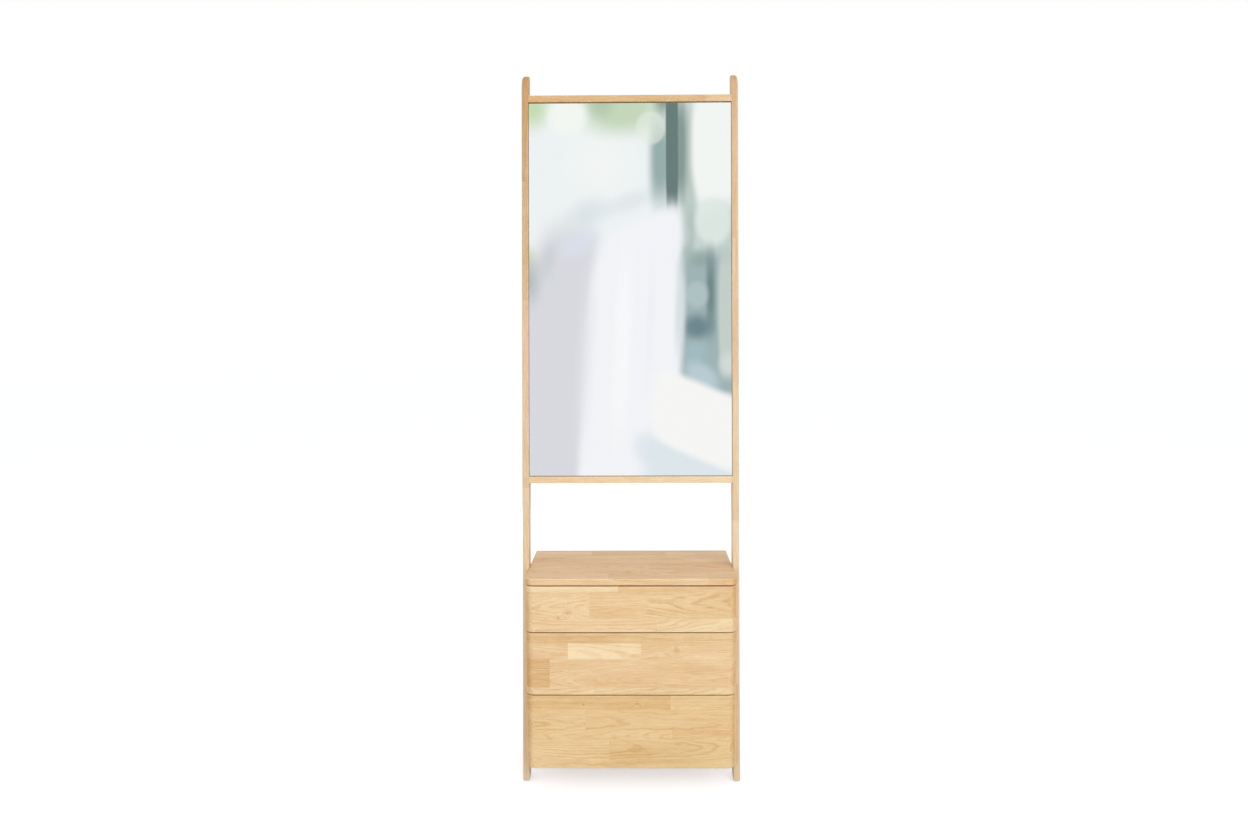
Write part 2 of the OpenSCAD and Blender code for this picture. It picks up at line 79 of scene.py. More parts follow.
def node_points(node):
    """The vertices of a CAD node, one row each."""
    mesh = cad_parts[node].data
    flat = np.empty(len(mesh.vertices) * 3, np.float32)
    mesh.vertices.foreach_get("co", flat)
    return flat.reshape(-1, 3).astype(float)


def find_lean():
    """The backward lean of the mirror frame: the long way of the glass, seen from the side."""
    side = node_points("mirror_glass")[:, 1:]
    long_way = np.linalg.svd(side - side.mean(0), full_matrices=False)[2][0]
    return math.atan2(abs(long_way[0]), abs(long_way[1]))


LEAN = find_lean()
SIN, COS = math.sin(LEAN), math.cos(LEAN)
FOOT_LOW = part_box("left_upright")[0]
FOOT_Y = FOOT_LOW.y - FOOT_LOW.z * math.tan(LEAN)
# From the leaned axes of the mirror frame (x, depth, length along the uprights) to world axes
LEANED = Matrix.Translation((0, FOOT_Y, 0)) @ Matrix.Rotation(-LEAN, 4, "X")
UP_FRAME = (0, SIN, COS)
INTO_FRAME = (0, COS, -SIN)


def leaned_box(node):
    """The lowest and highest corner of a CAD node in the leaned axes."""
    p = node_points(node)
    y, z = p[:, 1] - FOOT_Y, p[:, 2]
    q = np.stack([p[:, 0], y * COS - z * SIN, y * SIN + z * COS], 1)
    return Vector(q.min(0)), Vector(q.max(0))


def solids(node):
    """The vertices of every separate solid in a CAD node, one array each."""
    mesh = bmesh.new()
    mesh.from_mesh(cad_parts[node].data)
    bmesh.ops.remove_doubles(mesh, verts=mesh.verts, dist=WELD)
    left, groups = set(mesh.verts), []
    while left:
        todo, found = [left.pop()], []
        while todo:
            vert = todo.pop()
            found.append(tuple(vert.co))
            for edge in vert.link_edges:
                other = edge.other_vert(vert)
                if other in left:
                    left.remove(other)
                    todo.append(other)
        groups.append(np.array(found))
    mesh.free()
    return sorted(groups, key=lambda p: tuple(p.min(0).round(5)))


def boxes(node):
    """The lowest and highest corner of every separate solid in a CAD node."""
    return [(Vector(p.min(0)), Vector(p.max(0))) for p in solids(node)]


# ---- settings ----

def colour(name, description, value):
    """A colour property."""
    return FloatVectorProperty(name=name, description=description, subtype="COLOR",
                               size=3, min=0, max=1, default=value)


def length(name, description, value):
    """A length property, in metres."""
    return FloatProperty(name=name, description=description, unit="LENGTH",
                         min=0, precision=4, default=value)


def number(name, description, value, **limits):
    """A plain number property, or an angle in radians."""
    return FloatProperty(name=name, description=description, default=value, **limits)


class OakSettings(bpy.types.PropertyGroup):
    """Colours, grain and rounding of the oak"""
    pale: colour("Pale stave", "Colour of the palest stave", srgb(246, 222, 180))
    deep: colour("Deep stave", "Colour of the darkest stave", srgb(208, 158, 96))
    ring: length("Growth ring", "Average width of a growth ring", 3.6 * MM)
    figure: number("Figure", "Strength of the growth rings on the face", 0.21, min=0, max=2)
    end_grain: number("End grain", "How much darker end grain is", 0.22, min=0, max=1)
    roughness: number("Roughness", "Roughness of the oiled surface", 0.5, min=0, max=1)
    frame_arris: length("Outer arris", "Rounding of the uprights' outer edges", 5.0 * MM)
    ear_arris: length("Ear arris", "Rounding of the outer edges at the top of the uprights", 10.0 * MM)
    inner_arris: length("Inner arris", "Rounding of the uprights' inner edges", 2.5 * MM)
    rail_arris: length("Rail arris", "Rounding of the rails' edges", 1.6 * MM)
    front_arris: length("Front arris", "Rounding of the drawer fronts' edges", 2.2 * MM)
    shelf_arris: length("Shelf arris", "Rounding of the shelf's edges", 2.6 * MM)
    bead_arris: length("Bead arris", "Rounding of the beads' inner edges", 3.0 * MM)
    box_arris: length("Box arris", "Rounding of the edges inside the chest", 1.0 * MM)
    top_round: length("Top rounding", "Radius of the uprights' top front corners", 44 * MM)
    corner: length("Corner", "Radius of the upright corners of shelf and fronts", 23 * MM)


class GlassSettings(bpy.types.PropertyGroup):
    """Look of the mirror glass"""
    silver: colour("Silver", "Colour of the mirror's reflection", (0.95, 0.955, 0.95))
    # width of a painted shade line on the glass along the frame, where the gap behind the frame lies in shade
    edge_line: length("Edge line", "Width of the dark line along the frame", 2.2 * MM)
    roughness: number("Roughness", "Roughness of the mirror", 0.0, min=0, max=1)


class MetalSettings(bpy.types.PropertyGroup):
    """Look of the runners and fasteners"""
    zinc: colour("Zinc", "Colour of the zinc plating", srgb(206, 208, 210))
    brass: colour("Brass", "Colour of the threaded inserts", srgb(206, 178, 112))
    roughness: number("Roughness", "Roughness of the zinc plating", 0.34, min=0, max=1)


class StudioSettings(bpy.types.PropertyGroup):
    """Floor, light and camera"""
    floor: colour("Floor", "Colour of the floor", srgb(232, 232, 230))
    bounce: colour("Bounce", "Colour of the light that the floor throws on the object",
                   srgb(208, 208, 207))
    world: number("World light", "Strength of the light from all sides", 0.64, min=0)
    key: number("Key light", "Power of the large lamp at the right, in watts", 54, min=0)
    fill: number("Fill light", "Power of the lamp at the left, in watts", 24, min=0)
    back: number("Back light", "Power of the lamp behind the object, in watts", 26, min=0)
    camera_place: FloatVectorProperty(name="Camera place", description="Where the camera stands",
                                      subtype="TRANSLATION", unit="LENGTH", size=3,
                                      default=(0.00892, -2.47031, 1.25139))
    pitch: number("Pitch", "How far the camera looks down", math.radians(5.687), subtype="ANGLE")
    yaw: number("Yaw", "How far the camera looks to the right", math.radians(-0.623), subtype="ANGLE")
    roll: number("Roll", "How far the camera is rolled", math.radians(-0.217), subtype="ANGLE")
    lens: number("Lens", "Focal length on a 36 mm wide sensor, in mm", 25.93, min=1)


class MirrorPartSettings(bpy.types.PropertyGroup):
    """All settings of the leaning mirror with drawers"""
    oak: PointerProperty(type=OakSettings)
    glass: PointerProperty(type=GlassSettings)
    metal: PointerProperty(type=MetalSettings)
    studio: PointerProperty(type=StudioSettings)


def settings():
    """The settings of the current scene."""
    return bpy.context.scene.mirror_part


# ---- shader nodes ----

def maths(operation):
    """A way for a Shop to add one Math node."""
    def add(self, *inputs, clamp=False):
        return self.node("ShaderNodeMath", *inputs, operation=operation, use_clamp=clamp).outputs[0]
    return add


class Shop:
    """Adds nodes to one node tree and joins them."""
    plus, minus, times, times_plus, over, remainder, power, least, most = map(maths, (
        "ADD", "SUBTRACT", "MULTIPLY", "MULTIPLY_ADD", "DIVIDE", "MODULO", "POWER", "MINIMUM", "MAXIMUM"))
    size, floor, root, exponential, sine, cosine = map(maths, (
        "ABSOLUTE", "FLOOR", "SQRT", "EXPONENT", "SINE", "COSINE"))

    def __init__(self, tree):
        self.tree = tree

    def join(self, value, socket):
        """Links a socket, or sets a plain value."""
        if isinstance(value, bpy.types.NodeSocket):
            self.tree.links.new(value, socket)
        elif socket.type == "RGBA" and len(value) == 3:
            socket.default_value = (*value, 1)
        else:
            socket.default_value = value

    def node(self, kind, *inputs, at=None, **settings):
        """One node. Inputs come in order, None leaves one alone; at gives them by name."""
        made = self.tree.nodes.new(kind)
        for key, value in settings.items():
            setattr(made, key, value)
        for socket, value in zip(made.inputs, inputs):
            if value is not None:
                self.join(value, socket)
        for key, value in (at or {}).items():
            self.join(value, made.inputs[key])
        return made

    def vector(self, operation, *inputs):
        """One Vector Math node."""
        made = self.node("ShaderNodeVectorMath", *inputs, operation=operation)
        return made.outputs["Value" if operation in ("DOT_PRODUCT", "LENGTH") else "Vector"]

    def scaled(self, vector, factors):
        return self.vector("MULTIPLY", vector, factors)

    def xyz(self, x, y, z):
        return self.node("ShaderNodeCombineXYZ", x, y, z).outputs[0]

    def split(self, vector):
        return self.node("ShaderNodeSeparateXYZ", vector).outputs

    def ramp(self, value, low, high, to_low=0.0, to_high=1.0):
        """Maps low..high smoothly to to_low..to_high, and holds the ends."""
        return self.node("ShaderNodeMapRange", value, low, high, to_low, to_high, clamp=True,
                         interpolation_type="SMOOTHSTEP").outputs[0]

    def noise(self, vector, scale, detail=2.0, roughness=0.5):
        return self.node("ShaderNodeTexNoise", at={"Vector": vector, "Scale": scale,
                         "Detail": detail, "Roughness": roughness}).outputs["Fac"]

    def streaks(self, board, along, across, detail=1.0, roughness=0.5):
        """Noise with so many waves a metre along the grain and across it."""
        return self.noise(self.scaled(board, (along, across, across)), 1.0, detail, roughness)

    def mix(self, share, first, second, blend="MIX"):
        """Mixes two colours."""
        made = self.node("ShaderNodeMix", data_type="RGBA", blend_type=blend)
        for value, place in ((share, 0), (first, 6), (second, 7)):
            self.join(value, made.inputs[place])
        return made.outputs[2]


GROUPS = {}
COLOURS = {"Color", "Under", "Pale", "Deep", "Edge"}  # sockets of groups that hold a colour


def socket_kind(label, value=0.0):
    """The type of a group's socket with this name and default value."""
    return "NodeSocket" + ("Color" if label in COLOURS else "Vector" if isinstance(value, tuple) else "Float")


def shared(name, inputs, outputs, build):
    """A shader node group, built once. inputs has the default values by name, outputs the names,
    and build(shop, inputs) returns the output sockets by name."""
    if name not in GROUPS:
        tree = bpy.data.node_groups.new(name, "ShaderNodeTree")
        for label, value in inputs.items():
            socket = tree.interface.new_socket(label, in_out="INPUT", socket_type=socket_kind(label, value))
            socket.default_value = (*value, 1) if label in COLOURS else value
        for label in outputs:
            tree.interface.new_socket(label, in_out="OUTPUT", socket_type=socket_kind(label))
        shop = Shop(tree)
        given = tree.nodes.new("NodeGroupInput").outputs
        result = tree.nodes.new("NodeGroupOutput").inputs
        for label, socket in build(shop, given).items():
            tree.links.new(socket, result[label])
        GROUPS[name] = tree
    return GROUPS[name]


def use(shop, tree, **inputs):
    """Places a node group, its inputs by name with _ for a space, and returns its outputs."""
    made = shop.tree.nodes.new("ShaderNodeGroup")
    made.node_tree = tree
    for key, value in inputs.items():
        shop.join(value, made.inputs[key.replace("_", " ")])
    return made.outputs


def new_material(name):
    """An empty material, its shop and its Principled shader, joined to the output."""
    made = bpy.data.materials.new(name)
    made.use_nodes = True
    made.node_tree.nodes.clear()
    shop = Shop(made.node_tree)
    shader = shop.node("ShaderNodeBsdfPrincipled")
    output = shop.node("ShaderNodeOutputMaterial")
    made.node_tree.links.new(shader.outputs[0], output.inputs[0])
    return made, shop, shader


def board_axes(shop, along, across, out, origin=(0, 0, 0)):
    """A point in a board's own axes: along the grain, across it and out of its face."""
    place = shop.node("ShaderNodeTexCoord").outputs["Object"]
    p = shop.vector("SUBTRACT", place, origin)
    return shop.xyz(*(shop.vector("DOT_PRODUCT", p, way) for way in (along, across, out)))


def surface(shop, shader, shade, rough, height, strength, relief):
    """Joins a colour, a roughness and a relief of the given depth to a shader."""
    bump = shop.node("ShaderNodeBump", at={"Strength": strength, "Distance": relief, "Height": height})
    for value, label in ((shade, "Base Color"), (rough, "Roughness"), (bump.outputs[0], "Normal")):
        shop.join(value, shader.inputs[label])


def knot():
    """Group: lifts the growth rings around a knot and darkens its heart."""
    def build(shop, given):
        away = shop.vector("SUBTRACT", given["Vector"], given["Place"])
        turns = shop.over(shop.vector("LENGTH", shop.scaled(away, (0.55, 1.0, 0.0))), given["Size"])
        bell = shop.exponential(shop.times(shop.times(turns, turns), -0.35))
        return {"Lift": bell, "Stain": shop.ramp(turns, 1.5, 0.3), "Heart": shop.ramp(turns, 0.42, 0.2)}
    return shared("knot", {"Vector": (0, 0, 0), "Place": (0, 0, 0), "Size": 6 * MM},
                  ("Lift", "Stain", "Heart"), build)


def oak_grain():
    """Group: growth rings round a pith behind each stave, fibres, pores and end grain, with painted
    highlights on rounded ends and arrises.
    """
    def build(shop, given):
        tone, seed, middle = shop.split(given["Stave"])
        dice = shop.split(shop.node("ShaderNodeTexWhiteNoise", None, seed,
                                    noise_dimensions="1D").outputs["Color"])
        slide = shop.xyz(shop.times(seed, 3.7), shop.times(seed, 1.3), seed)
        p = shop.vector("ADD", given["Vector"], slide)
        along, across, out = shop.split(given["Vector"])
        # distance from the pith, bent by slow and quick waves that run along the grain
        slow = shop.minus(shop.streaks(p, 2.2, 8), 0.5)
        quick = shop.minus(shop.streaks(p, 17, 60, 2.0), 0.5)
        shift = shop.times(shop.minus(dice[0], 0.5), 0.05)
        from_pith = shop.minus(shop.minus(across, middle), shift)
        depth = shop.plus(out, shop.times_plus(dice[1], 0.06, 0.02))
        radius = shop.root(shop.plus(shop.times(from_pith, from_pith), shop.times(depth, depth)))
        taper = shop.times(along, shop.times_plus(dice[2], 0.1, -0.05))
        bent = shop.times_plus(slow, 0.036, shop.times(quick, 0.005))
        lifted = shop.times_plus(given["Lift"], 0.011, bent)
        radius = shop.plus(shop.plus(radius, taper), lifted)
        turns = shop.over(radius, shop.times(given["Ring"], shop.times_plus(dice[1], 0.7, 0.7)))
        wave = shop.times_plus(shop.sine(shop.times(turns, math.tau)), 0.5, 0.5)
        line = shop.power(wave, 4.0)
        band = shop.noise(shop.xyz(turns, seed, 0.0), 0.45, 1.0)
        strong = shop.ramp(shop.streaks(p, 4, 20), 0.3, 0.7, 0.2, 1.3)
        fibre = shop.streaks(p, 9, 340, 3.0, 0.6)
        cloud = shop.streaks(p, 2.8, 18, 2.0)
        fleck = shop.streaks(p, 24, 105, 2.0, 0.65)
        dashes = shop.ramp(shop.streaks(p, 70, 1000), 0.48, 0.62)
        pores = shop.times(dashes, shop.times_plus(line, 0.8, 0.2))
        marks = shop.ramp(shop.streaks(p, 11, 130), 0.76, 0.83)
        on_along, on_across, on_out = (shop.size(shop.vector(
            "DOT_PRODUCT", given["Normal"], given[way])) for way in ("Along", "Across", "Out"))
        end = shop.ramp(on_along, 0.2, 0.75)
        # painted highlight: paler where the surface turns along the grain, as on the fronts' rounded ends
        rim = shop.times(shop.ramp(on_along, 0.88, 0.99), given["Rim"])
        # painted highlight: paler on the rounded arrises where faces across and out of the grain meet
        arris_highlight = shop.ramp(shop.times(on_across, on_out), 0.04, 0.4)
        # share of the deep colour
        share = shop.times_plus(shop.times(line, strong), given["Figure"], tone)
        for part, amount in ((band, 0.42), (fibre, 0.4), (cloud, 0.6), (fleck, 0.45)):
            share = shop.times_plus(shop.minus(part, 0.5), amount, share)
        # pores and marks darken the wood; the painted highlights on rounded ends and arrises lighten it
        for part, amount in ((pores, 0.2), (marks, 0.35), (rim, -1.0), (arris_highlight, -0.22)):
            share = shop.times_plus(part, amount, share)
        share = shop.times_plus(end, given["End grain"], share, clamp=True)
        wood = shop.mix(share, given["Pale"], given["Deep"])
        wood = shop.mix(0.1, wood, shop.mix(dice[0], srgb(255, 196, 150), srgb(226, 220, 150)), "MULTIPLY")
        wood = shop.mix(shop.times(given["Stain"], 0.36), wood, srgb(200, 132, 68))
        wood = shop.mix(shop.times(given["Heart"], 0.6), wood, srgb(150, 98, 52))
        rough = shop.times_plus(fibre, 0.12, shop.plus(given["Roughness"], -0.06))
        rough = shop.times_plus(end, 0.12, rough)
        height = shop.times_plus(pores, -0.7, shop.times(fibre, 0.5))
        return {"Color": wood, "Roughness": rough, "Height": height}
    return shared("oak_grain", {
        "Vector": (0, 0, 0), "Normal": Z_WAY, "Along": X_WAY, "Across": Z_WAY, "Out": (0, -1, 0),
        "Stave": (0, 0, 0), "Lift": 0.0, "Stain": 0.0, "Heart": 0.0, "Rim": 0.0, "Ring": 4 * MM,
        "Figure": 0.3, "End grain": 0.2, "Roughness": 0.5, "Pale": (1, 1, 1), "Deep": (0, 0, 0)},
        ("Color", "Roughness", "Height"), build)


def oak_material(name, along, across, out, origin=(0, 0, 0), tint=(1, 1, 1), figure=1.0, knots=(),
                 rim=0.0):
    """Oiled oak whose grain follows the given axes, with knots at (along, across, size, heart), and a painted
    highlight of strength rim where the surface turns along the grain.
    """
    oak = settings().oak
    made, shop, shader = new_material(name)
    p = board_axes(shop, along, across, out, origin)
    lift = stain = heart = 0.0
    for k_along, k_across, k_size, k_heart in knots:
        lifts = use(shop, knot(), Vector=p, Place=(k_along, k_across, 0), Size=k_size)
        lift = shop.plus(lift, lifts["Lift"])
        stain = shop.most(stain, lifts["Stain"])
        heart = shop.most(heart, shop.times(lifts["Heart"], k_heart))
    normal = shop.node("ShaderNodeNewGeometry").outputs["Normal"]
    stave = shop.node("ShaderNodeAttribute", attribute_name="stave").outputs["Vector"]
    pale, deep = (tuple(c * t for c, t in zip(shade, tint)) for shade in (oak.pale, oak.deep))
    wood = use(shop, oak_grain(), Vector=p, Normal=normal, Along=along, Across=across, Out=out, Stave=stave,
               Lift=lift, Stain=stain, Heart=heart, Rim=rim, Ring=oak.ring, Figure=oak.figure * figure,
               End_grain=oak.end_grain, Roughness=oak.roughness, Pale=pale, Deep=deep)
    surface(shop, shader, wood["Color"], wood["Roughness"], wood["Height"], 0.35, 0.3 * MM)
    return made


def ply_layers():
    """Group: a birch face veneer with fine grain, and the glued layers on the edges."""
    def build(shop, given):
        out = shop.split(given["Vector"])[2]
        facing = shop.size(shop.vector("DOT_PRODUCT", given["Normal"], given["Out"]))
        edge = shop.ramp(facing, 0.8, 0.4)
        fibre = shop.streaks(given["Vector"], 7, 210, 3.0, 0.6)
        wave = shop.streaks(given["Vector"], 2.5, 22, 2.0)
        flakes = shop.streaks(given["Vector"], 70, 420)
        share = shop.times_plus(fibre, 0.5, shop.times(wave, 0.6))
        share = shop.minus(shop.times_plus(shop.ramp(flakes, 0.6, 0.75), 0.12, share), 0.3)
        face = shop.mix(share, given["Pale"], given["Deep"])
        layer = shop.sine(shop.times(out, math.tau / PLY_PAIR))
        band = shop.ramp(layer, -0.25, 0.25)
        sides = shop.mix(band, shop.mix(0.5, given["Pale"], given["Deep"]), given["Edge"])
        height = shop.times(fibre, 0.4)
        return {"Color": shop.mix(edge, face, sides), "Height": height,
                "Roughness": shop.times_plus(edge, 0.2, 0.42)}
    return shared("ply_layers", {"Vector": (0, 0, 0), "Normal": Z_WAY, "Out": Z_WAY, "Pale": (1, 1, 1),
                                 "Deep": (0, 0, 0), "Edge": (0, 0, 0)},
                  ("Color", "Roughness", "Height"), build)


def ply_material(name, along, across, out):
    """Lacquered birch plywood, its layers stacked along out."""
    made, shop, shader = new_material(name)
    p = board_axes(shop, along, across, out)
    normal = shop.node("ShaderNodeNewGeometry").outputs["Normal"]
    ply = use(shop, ply_layers(), Vector=p, Normal=normal, Out=out, Pale=srgb(240, 222, 190),
              Deep=srgb(214, 184, 140), Edge=srgb(160, 118, 76))
    surface(shop, shader, ply["Color"], ply["Roughness"], ply["Height"], 0.3, 0.2 * MM)
    return made


def metal_material(name, plating, brushed=(1, 1, 1)):
    """Plated metal, with faint drawing lines that run along the smallest of brushed."""
    base, roughness = getattr(settings().metal, plating), settings().metal.roughness
    made, shop, shader = new_material(name)
    place = shop.node("ShaderNodeTexCoord").outputs["Object"]
    lines = shop.noise(shop.scaled(place, tuple(900 * b for b in brushed)), 1.0, 3.0, 0.6)
    blotch = shop.noise(place, 60.0)
    dull = tuple(0.8 * c for c in base)
    share = shop.times_plus(lines, 0.5, shop.times(blotch, 0.5))
    shade = shop.mix(share, dull, base)
    rough = shop.times_plus(lines, 0.18, roughness - 0.09)
    surface(shop, shader, shade, rough, lines, 0.15, 0.1 * MM)
    shader.inputs["Metallic"].default_value = 1.0
    return made


def mottled_material(name, first, second, roughness, grain, relief):
    """A dull material of two mottled colours: felt, rubber or hardboard."""
    made, shop, shader = new_material(name)
    place = shop.node("ShaderNodeTexCoord").outputs["Object"]
    fine = shop.noise(place, grain, 4.0, 0.65)
    broad = shop.noise(place, grain / 30)
    share = shop.times_plus(fine, 0.7, shop.times(broad, 0.3))
    shade = shop.mix(shop.ramp(share, 0.3, 0.7), first, second)
    rough = shop.times_plus(fine, 0.1, roughness - 0.05)
    surface(shop, shader, shade, rough, fine, 0.5, relief)
    return made


def mirror_material(name):
    """Silvered glass, with a painted shade line along the frame where the gap behind the frame lies in shade
    and shows in the glass.
    """
    glass = settings().glass
    made, shop, shader = new_material(name)
    p = shop.split(board_axes(shop, X_WAY, UP_FRAME, INTO_FRAME, (0, FOOT_Y, 0)))
    half, low = -leaned_box("left_upright")[1].x, leaned_box("lower_rail")[1].z
    high = leaned_box("top_rail")[0].z
    side = shop.times(shop.minus(half, shop.size(p[0])), NARROWER_SHADE_SIDE)
    ends = shop.least(shop.minus(high, p[1]), shop.minus(p[1], low))
    # painted shade: the glass turns dark brown along the frame, standing in for the shaded gap and its
    # reflection
    line = shop.ramp(shop.least(side, ends), 1.2 * glass.edge_line, 0.6 * glass.edge_line, 0, 0.8)
    shop.join(shop.mix(line, glass.silver, srgb(92, 72, 54)), shader.inputs["Base Color"])
    shader.inputs["Metallic"].default_value = 1.0
    shader.inputs["Roughness"].default_value = glass.roughness
    return made


PLY_PAIR = 2.6 * MM  # thickness of a pale and a dark layer of plywood together
NARROWER_SHADE_SIDE = 1.5  # how much narrower the mirror's painted shade line is at the sides
FRAME_GRAIN_X = -0.291  # where the grain of the uprights starts, across the object
FRONT_RIM_HIGHLIGHT = 0.6  # strength of the painted highlight on the rims of the fronts' rounded ends
# tint of each front, and its larger knots: place across and up, size, darkness of the heart
FRONT_LOOKS = {
    "top": ((1.02, 1.045, 1.08), ((-0.166, 0.496, 0.0060, 0.0), (-0.193, 0.481, 0.0030, 0.6),
                                  (-0.178, 0.521, 0.0014, 0.5))),
    "middle": ((1.02, 1.045, 1.08), ((0.121, 0.391, 0.0062, 0.25),)),
    "bottom": ((1.02, 1.045, 1.01), ((-0.128, 0.244, 0.0034, 0.9), (0.016, 0.245, 0.0040, 0.9)))}
# what makes each finish, and what that takes after the name
FINISHES = {
    "oak_frame": (oak_material, UP_FRAME, INTO_FRAME, X_WAY, (FRAME_GRAIN_X, FOOT_Y, 0), (0.92, 0.95, 1.09)),
    "oak_rails": (oak_material, X_WAY, UP_FRAME, (0, -COS, SIN), (0, FOOT_Y, 0), (1.0, 1.03, 1.12)),
    "oak_shelf": (oak_material, X_WAY, Y_WAY, Z_WAY, (0, 0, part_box("shelf")[1].z), (1.03, 1.03, 1.11)),
    "oak_upright_grain": (oak_material, Z_WAY, Y_WAY, X_WAY),
    "oak_chest_bottom": (oak_material, X_WAY, Y_WAY, Z_WAY, (0, 0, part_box("chest_bottom")[1].z)),
    **{f"oak_front_{row}": (oak_material, X_WAY, Z_WAY, (0, -1, 0), (0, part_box("shelf")[0].y, 0), tint, 1.0,
                            knots, FRONT_RIM_HIGHLIGHT) for row, (tint, knots) in FRONT_LOOKS.items()},
    "beech": (oak_material, X_WAY, Z_WAY, Y_WAY, (0, 0, 0), (0.95, 0.82, 0.74), 0.3),
    "ply_sides": (ply_material, Y_WAY, Z_WAY, X_WAY),
    "ply_backs": (ply_material, X_WAY, Z_WAY, Y_WAY),
    "ply_bottoms": (ply_material, X_WAY, Y_WAY, Z_WAY),
    "mirror": (mirror_material,),
    "hardboard": (mottled_material, srgb(150, 112, 78), srgb(118, 84, 56), 0.55, 900.0, 0.1 * MM),
    "rubber": (mottled_material, srgb(42, 42, 44), srgb(32, 32, 33), 0.7, 700.0, 0.1 * MM),
    "felt": (mottled_material, srgb(168, 158, 146), srgb(132, 122, 112), 0.95, 1500.0, 0.6 * MM),
    "zinc": (metal_material, "zinc"),
    "runner_steel": (metal_material, "zinc", (1.2, 0.03, 1.2)),
    "brass": (metal_material, "brass"),
}
MATERIALS = {}


def material(name):
    """The finish with this name, made the first time that a piece asks for it."""
    if name not in MATERIALS:
        maker, *looks = FINISHES[name]
        MATERIALS[name] = maker(name, *looks)
    return MATERIALS[name]


# ---- solids ----

def prism(outline, low, high, place):
    """A closed solid: an outline of (a, b) pushed from low to high. place(a, b, c) is a point."""
    shape = bmesh.new()
    ends = [[shape.verts.new(place(a, b, c)) for a, b in outline] for c in (low, high)]
    shape.faces.new(ends[0])
    shape.faces.new(reversed(ends[1]))
    for i in range(len(outline)):
        j = (i + 1) % len(outline)
        shape.faces.new((ends[0][i], ends[0][j], ends[1][j], ends[1][i]))
    bmesh.ops.recalc_face_normals(shape, faces=shape.faces)
    return shape


def along_x(a, b, c):
    """Outline in (depth, height), pushed along X."""
    return Vector((c, a, b))


def along_y(a, b, c):
    """Outline in (across, height), pushed along Y."""
    return Vector((a, c, b))


def along_z(a, b, c):
    """Outline in plan, pushed along Z."""
    return Vector((a, b, c))


def block(low, high):
    """A closed block between two corners."""
    corners = [(low[0], low[1]), (high[0], low[1]), (high[0], high[1]), (low[0], high[1])]
    return prism(corners, low[2], high[2], along_z)


def arc(centre_a, centre_b, radius, start, end, steps):
    """Points on an arc, from start to end in degrees."""
    return [(centre_a + radius * math.cos(math.radians(start + (end - start) * i / steps)),
             centre_b + radius * math.sin(math.radians(start + (end - start) * i / steps)))
            for i in range(steps + 1)]


def run_of(edge):
    """The middle and the direction of an edge."""
    a, b = (v.co for v in edge.verts)
    return (a + b) / 2, (b - a).normalized()


def round_edges(shape, width, segments=3, where=None):
    """Rounds the sharp edges of a solid, or those that where(middle, direction) picks."""
    picked = [edge for edge in shape.edges if edge.calc_face_angle(0) > SHARP
              and (where is None or where(*run_of(edge)))]
    bmesh.ops.bevel(shape, geom=picked, offset=width, offset_type="OFFSET", segments=segments,
                    profile=0.5, affect="EDGES", clamp_overlap=True)
    return shape


def round_unevenly(shape, width, segments, share):
    """Rounds the sharp edges of a solid, each by share(middle, direction) of the width."""
    weights = shape.edges.layers.float.new("bevel_weight_edge")
    for edge in shape.edges:
        if edge.calc_face_angle(0) > SHARP:
            edge[weights] = share(*run_of(edge))
    body = loose_object(shape, "rounded")
    bevel = body.modifiers.new("bevel", "BEVEL")
    bevel.width, bevel.segments, bevel.limit_method = width, segments, "WEIGHT"
    apply_modifiers(body)
    return taken_apart(body)


def taken_apart(*objects):
    """The solid of the first object, after which all the objects are deleted."""
    result = bmesh.new()
    result.from_mesh(objects[0].data)
    for made in objects:
        mesh = made.data
        bpy.data.objects.remove(made)
        bpy.data.meshes.remove(mesh)
    return result


def loose_object(shape, name):
    """A linked object made of a solid, which is freed."""
    mesh = bpy.data.meshes.new(name)
    shape.to_mesh(mesh)
    shape.free()
    made = bpy.data.objects.new(name, mesh)
    bpy.context.scene.collection.objects.link(made)
    return made


def apply_modifiers(made):
    """Turns an object's modifiers into its plain mesh."""
    graph = bpy.context.evaluated_depsgraph_get()
    mesh = bpy.data.meshes.new_from_object(made.evaluated_get(graph), depsgraph=graph,
                                           preserve_all_data_layers=True)
    made.modifiers.clear()
    old, made.data = made.data, mesh
    mesh.name = made.name
    bpy.data.meshes.remove(old)


def carve(shape, tool):
    """Cuts one solid out of another."""
    body, cutter = loose_object(shape, "carved"), loose_object(tool, "cutter")
    cut = body.modifiers.new("cut", "BOOLEAN")
    cut.operation, cut.solver, cut.object = "DIFFERENCE", "EXACT", cutter
    apply_modifiers(body)
    return taken_apart(body, cutter)


WIDEST_STAVE = 0.2  # for the middle of a row that has no upper edge


def lay_staves(shape, rows, along, across):
    """Splits the faces of a solid at the glue lines of its staves and writes the tone, the seed
    and the middle of its stave on each face. rows is [(top edge, [(end, tone), ...]), ...]."""
    layer = shape.faces.layers.float_vector.new("stave")
    seed = 0.0
    step_across, step_along = (Vector([float(i == axis) for i in range(3)]) for axis in (across, along))
    low = min(v.co[across] for v in shape.verts) - HAIR
    for top, _ in rows[:-1]:
        bmesh.ops.bisect_plane(shape, geom=[*shape.verts, *shape.edges, *shape.faces],
                               plane_co=step_across * top, plane_no=step_across, dist=ON_CUT)
    for top, staves in rows:
        for end, _ in staves[:-1]:
            faces = [f for f in shape.faces if low < f.calc_center_median()[across] <= top]
            parts = {p for f in faces for p in (*f.verts, *f.edges, f)}
            bmesh.ops.bisect_plane(shape, geom=list(parts), plane_co=step_along * end,
                                   plane_no=step_along, dist=ON_CUT)
        for face in shape.faces:
            centre = face.calc_center_median()
            if low < centre[across] <= top:
                index = sum(centre[along] > end for end, _ in staves[:-1])
                face[layer] = (staves[index][1], seed + 1 + index, (low + min(top, low + WIDEST_STAVE)) / 2)
        seed += 10
        low = top
    return shape


def one_stave(shape, tone, seed, middle=0.0):
    """Writes one tone, seed and middle on every face of a solid."""
    layer = shape.faces.layers.float_vector.new("stave")
    for face in shape.faces:
        face[layer] = (tone, seed, middle)
    return shape


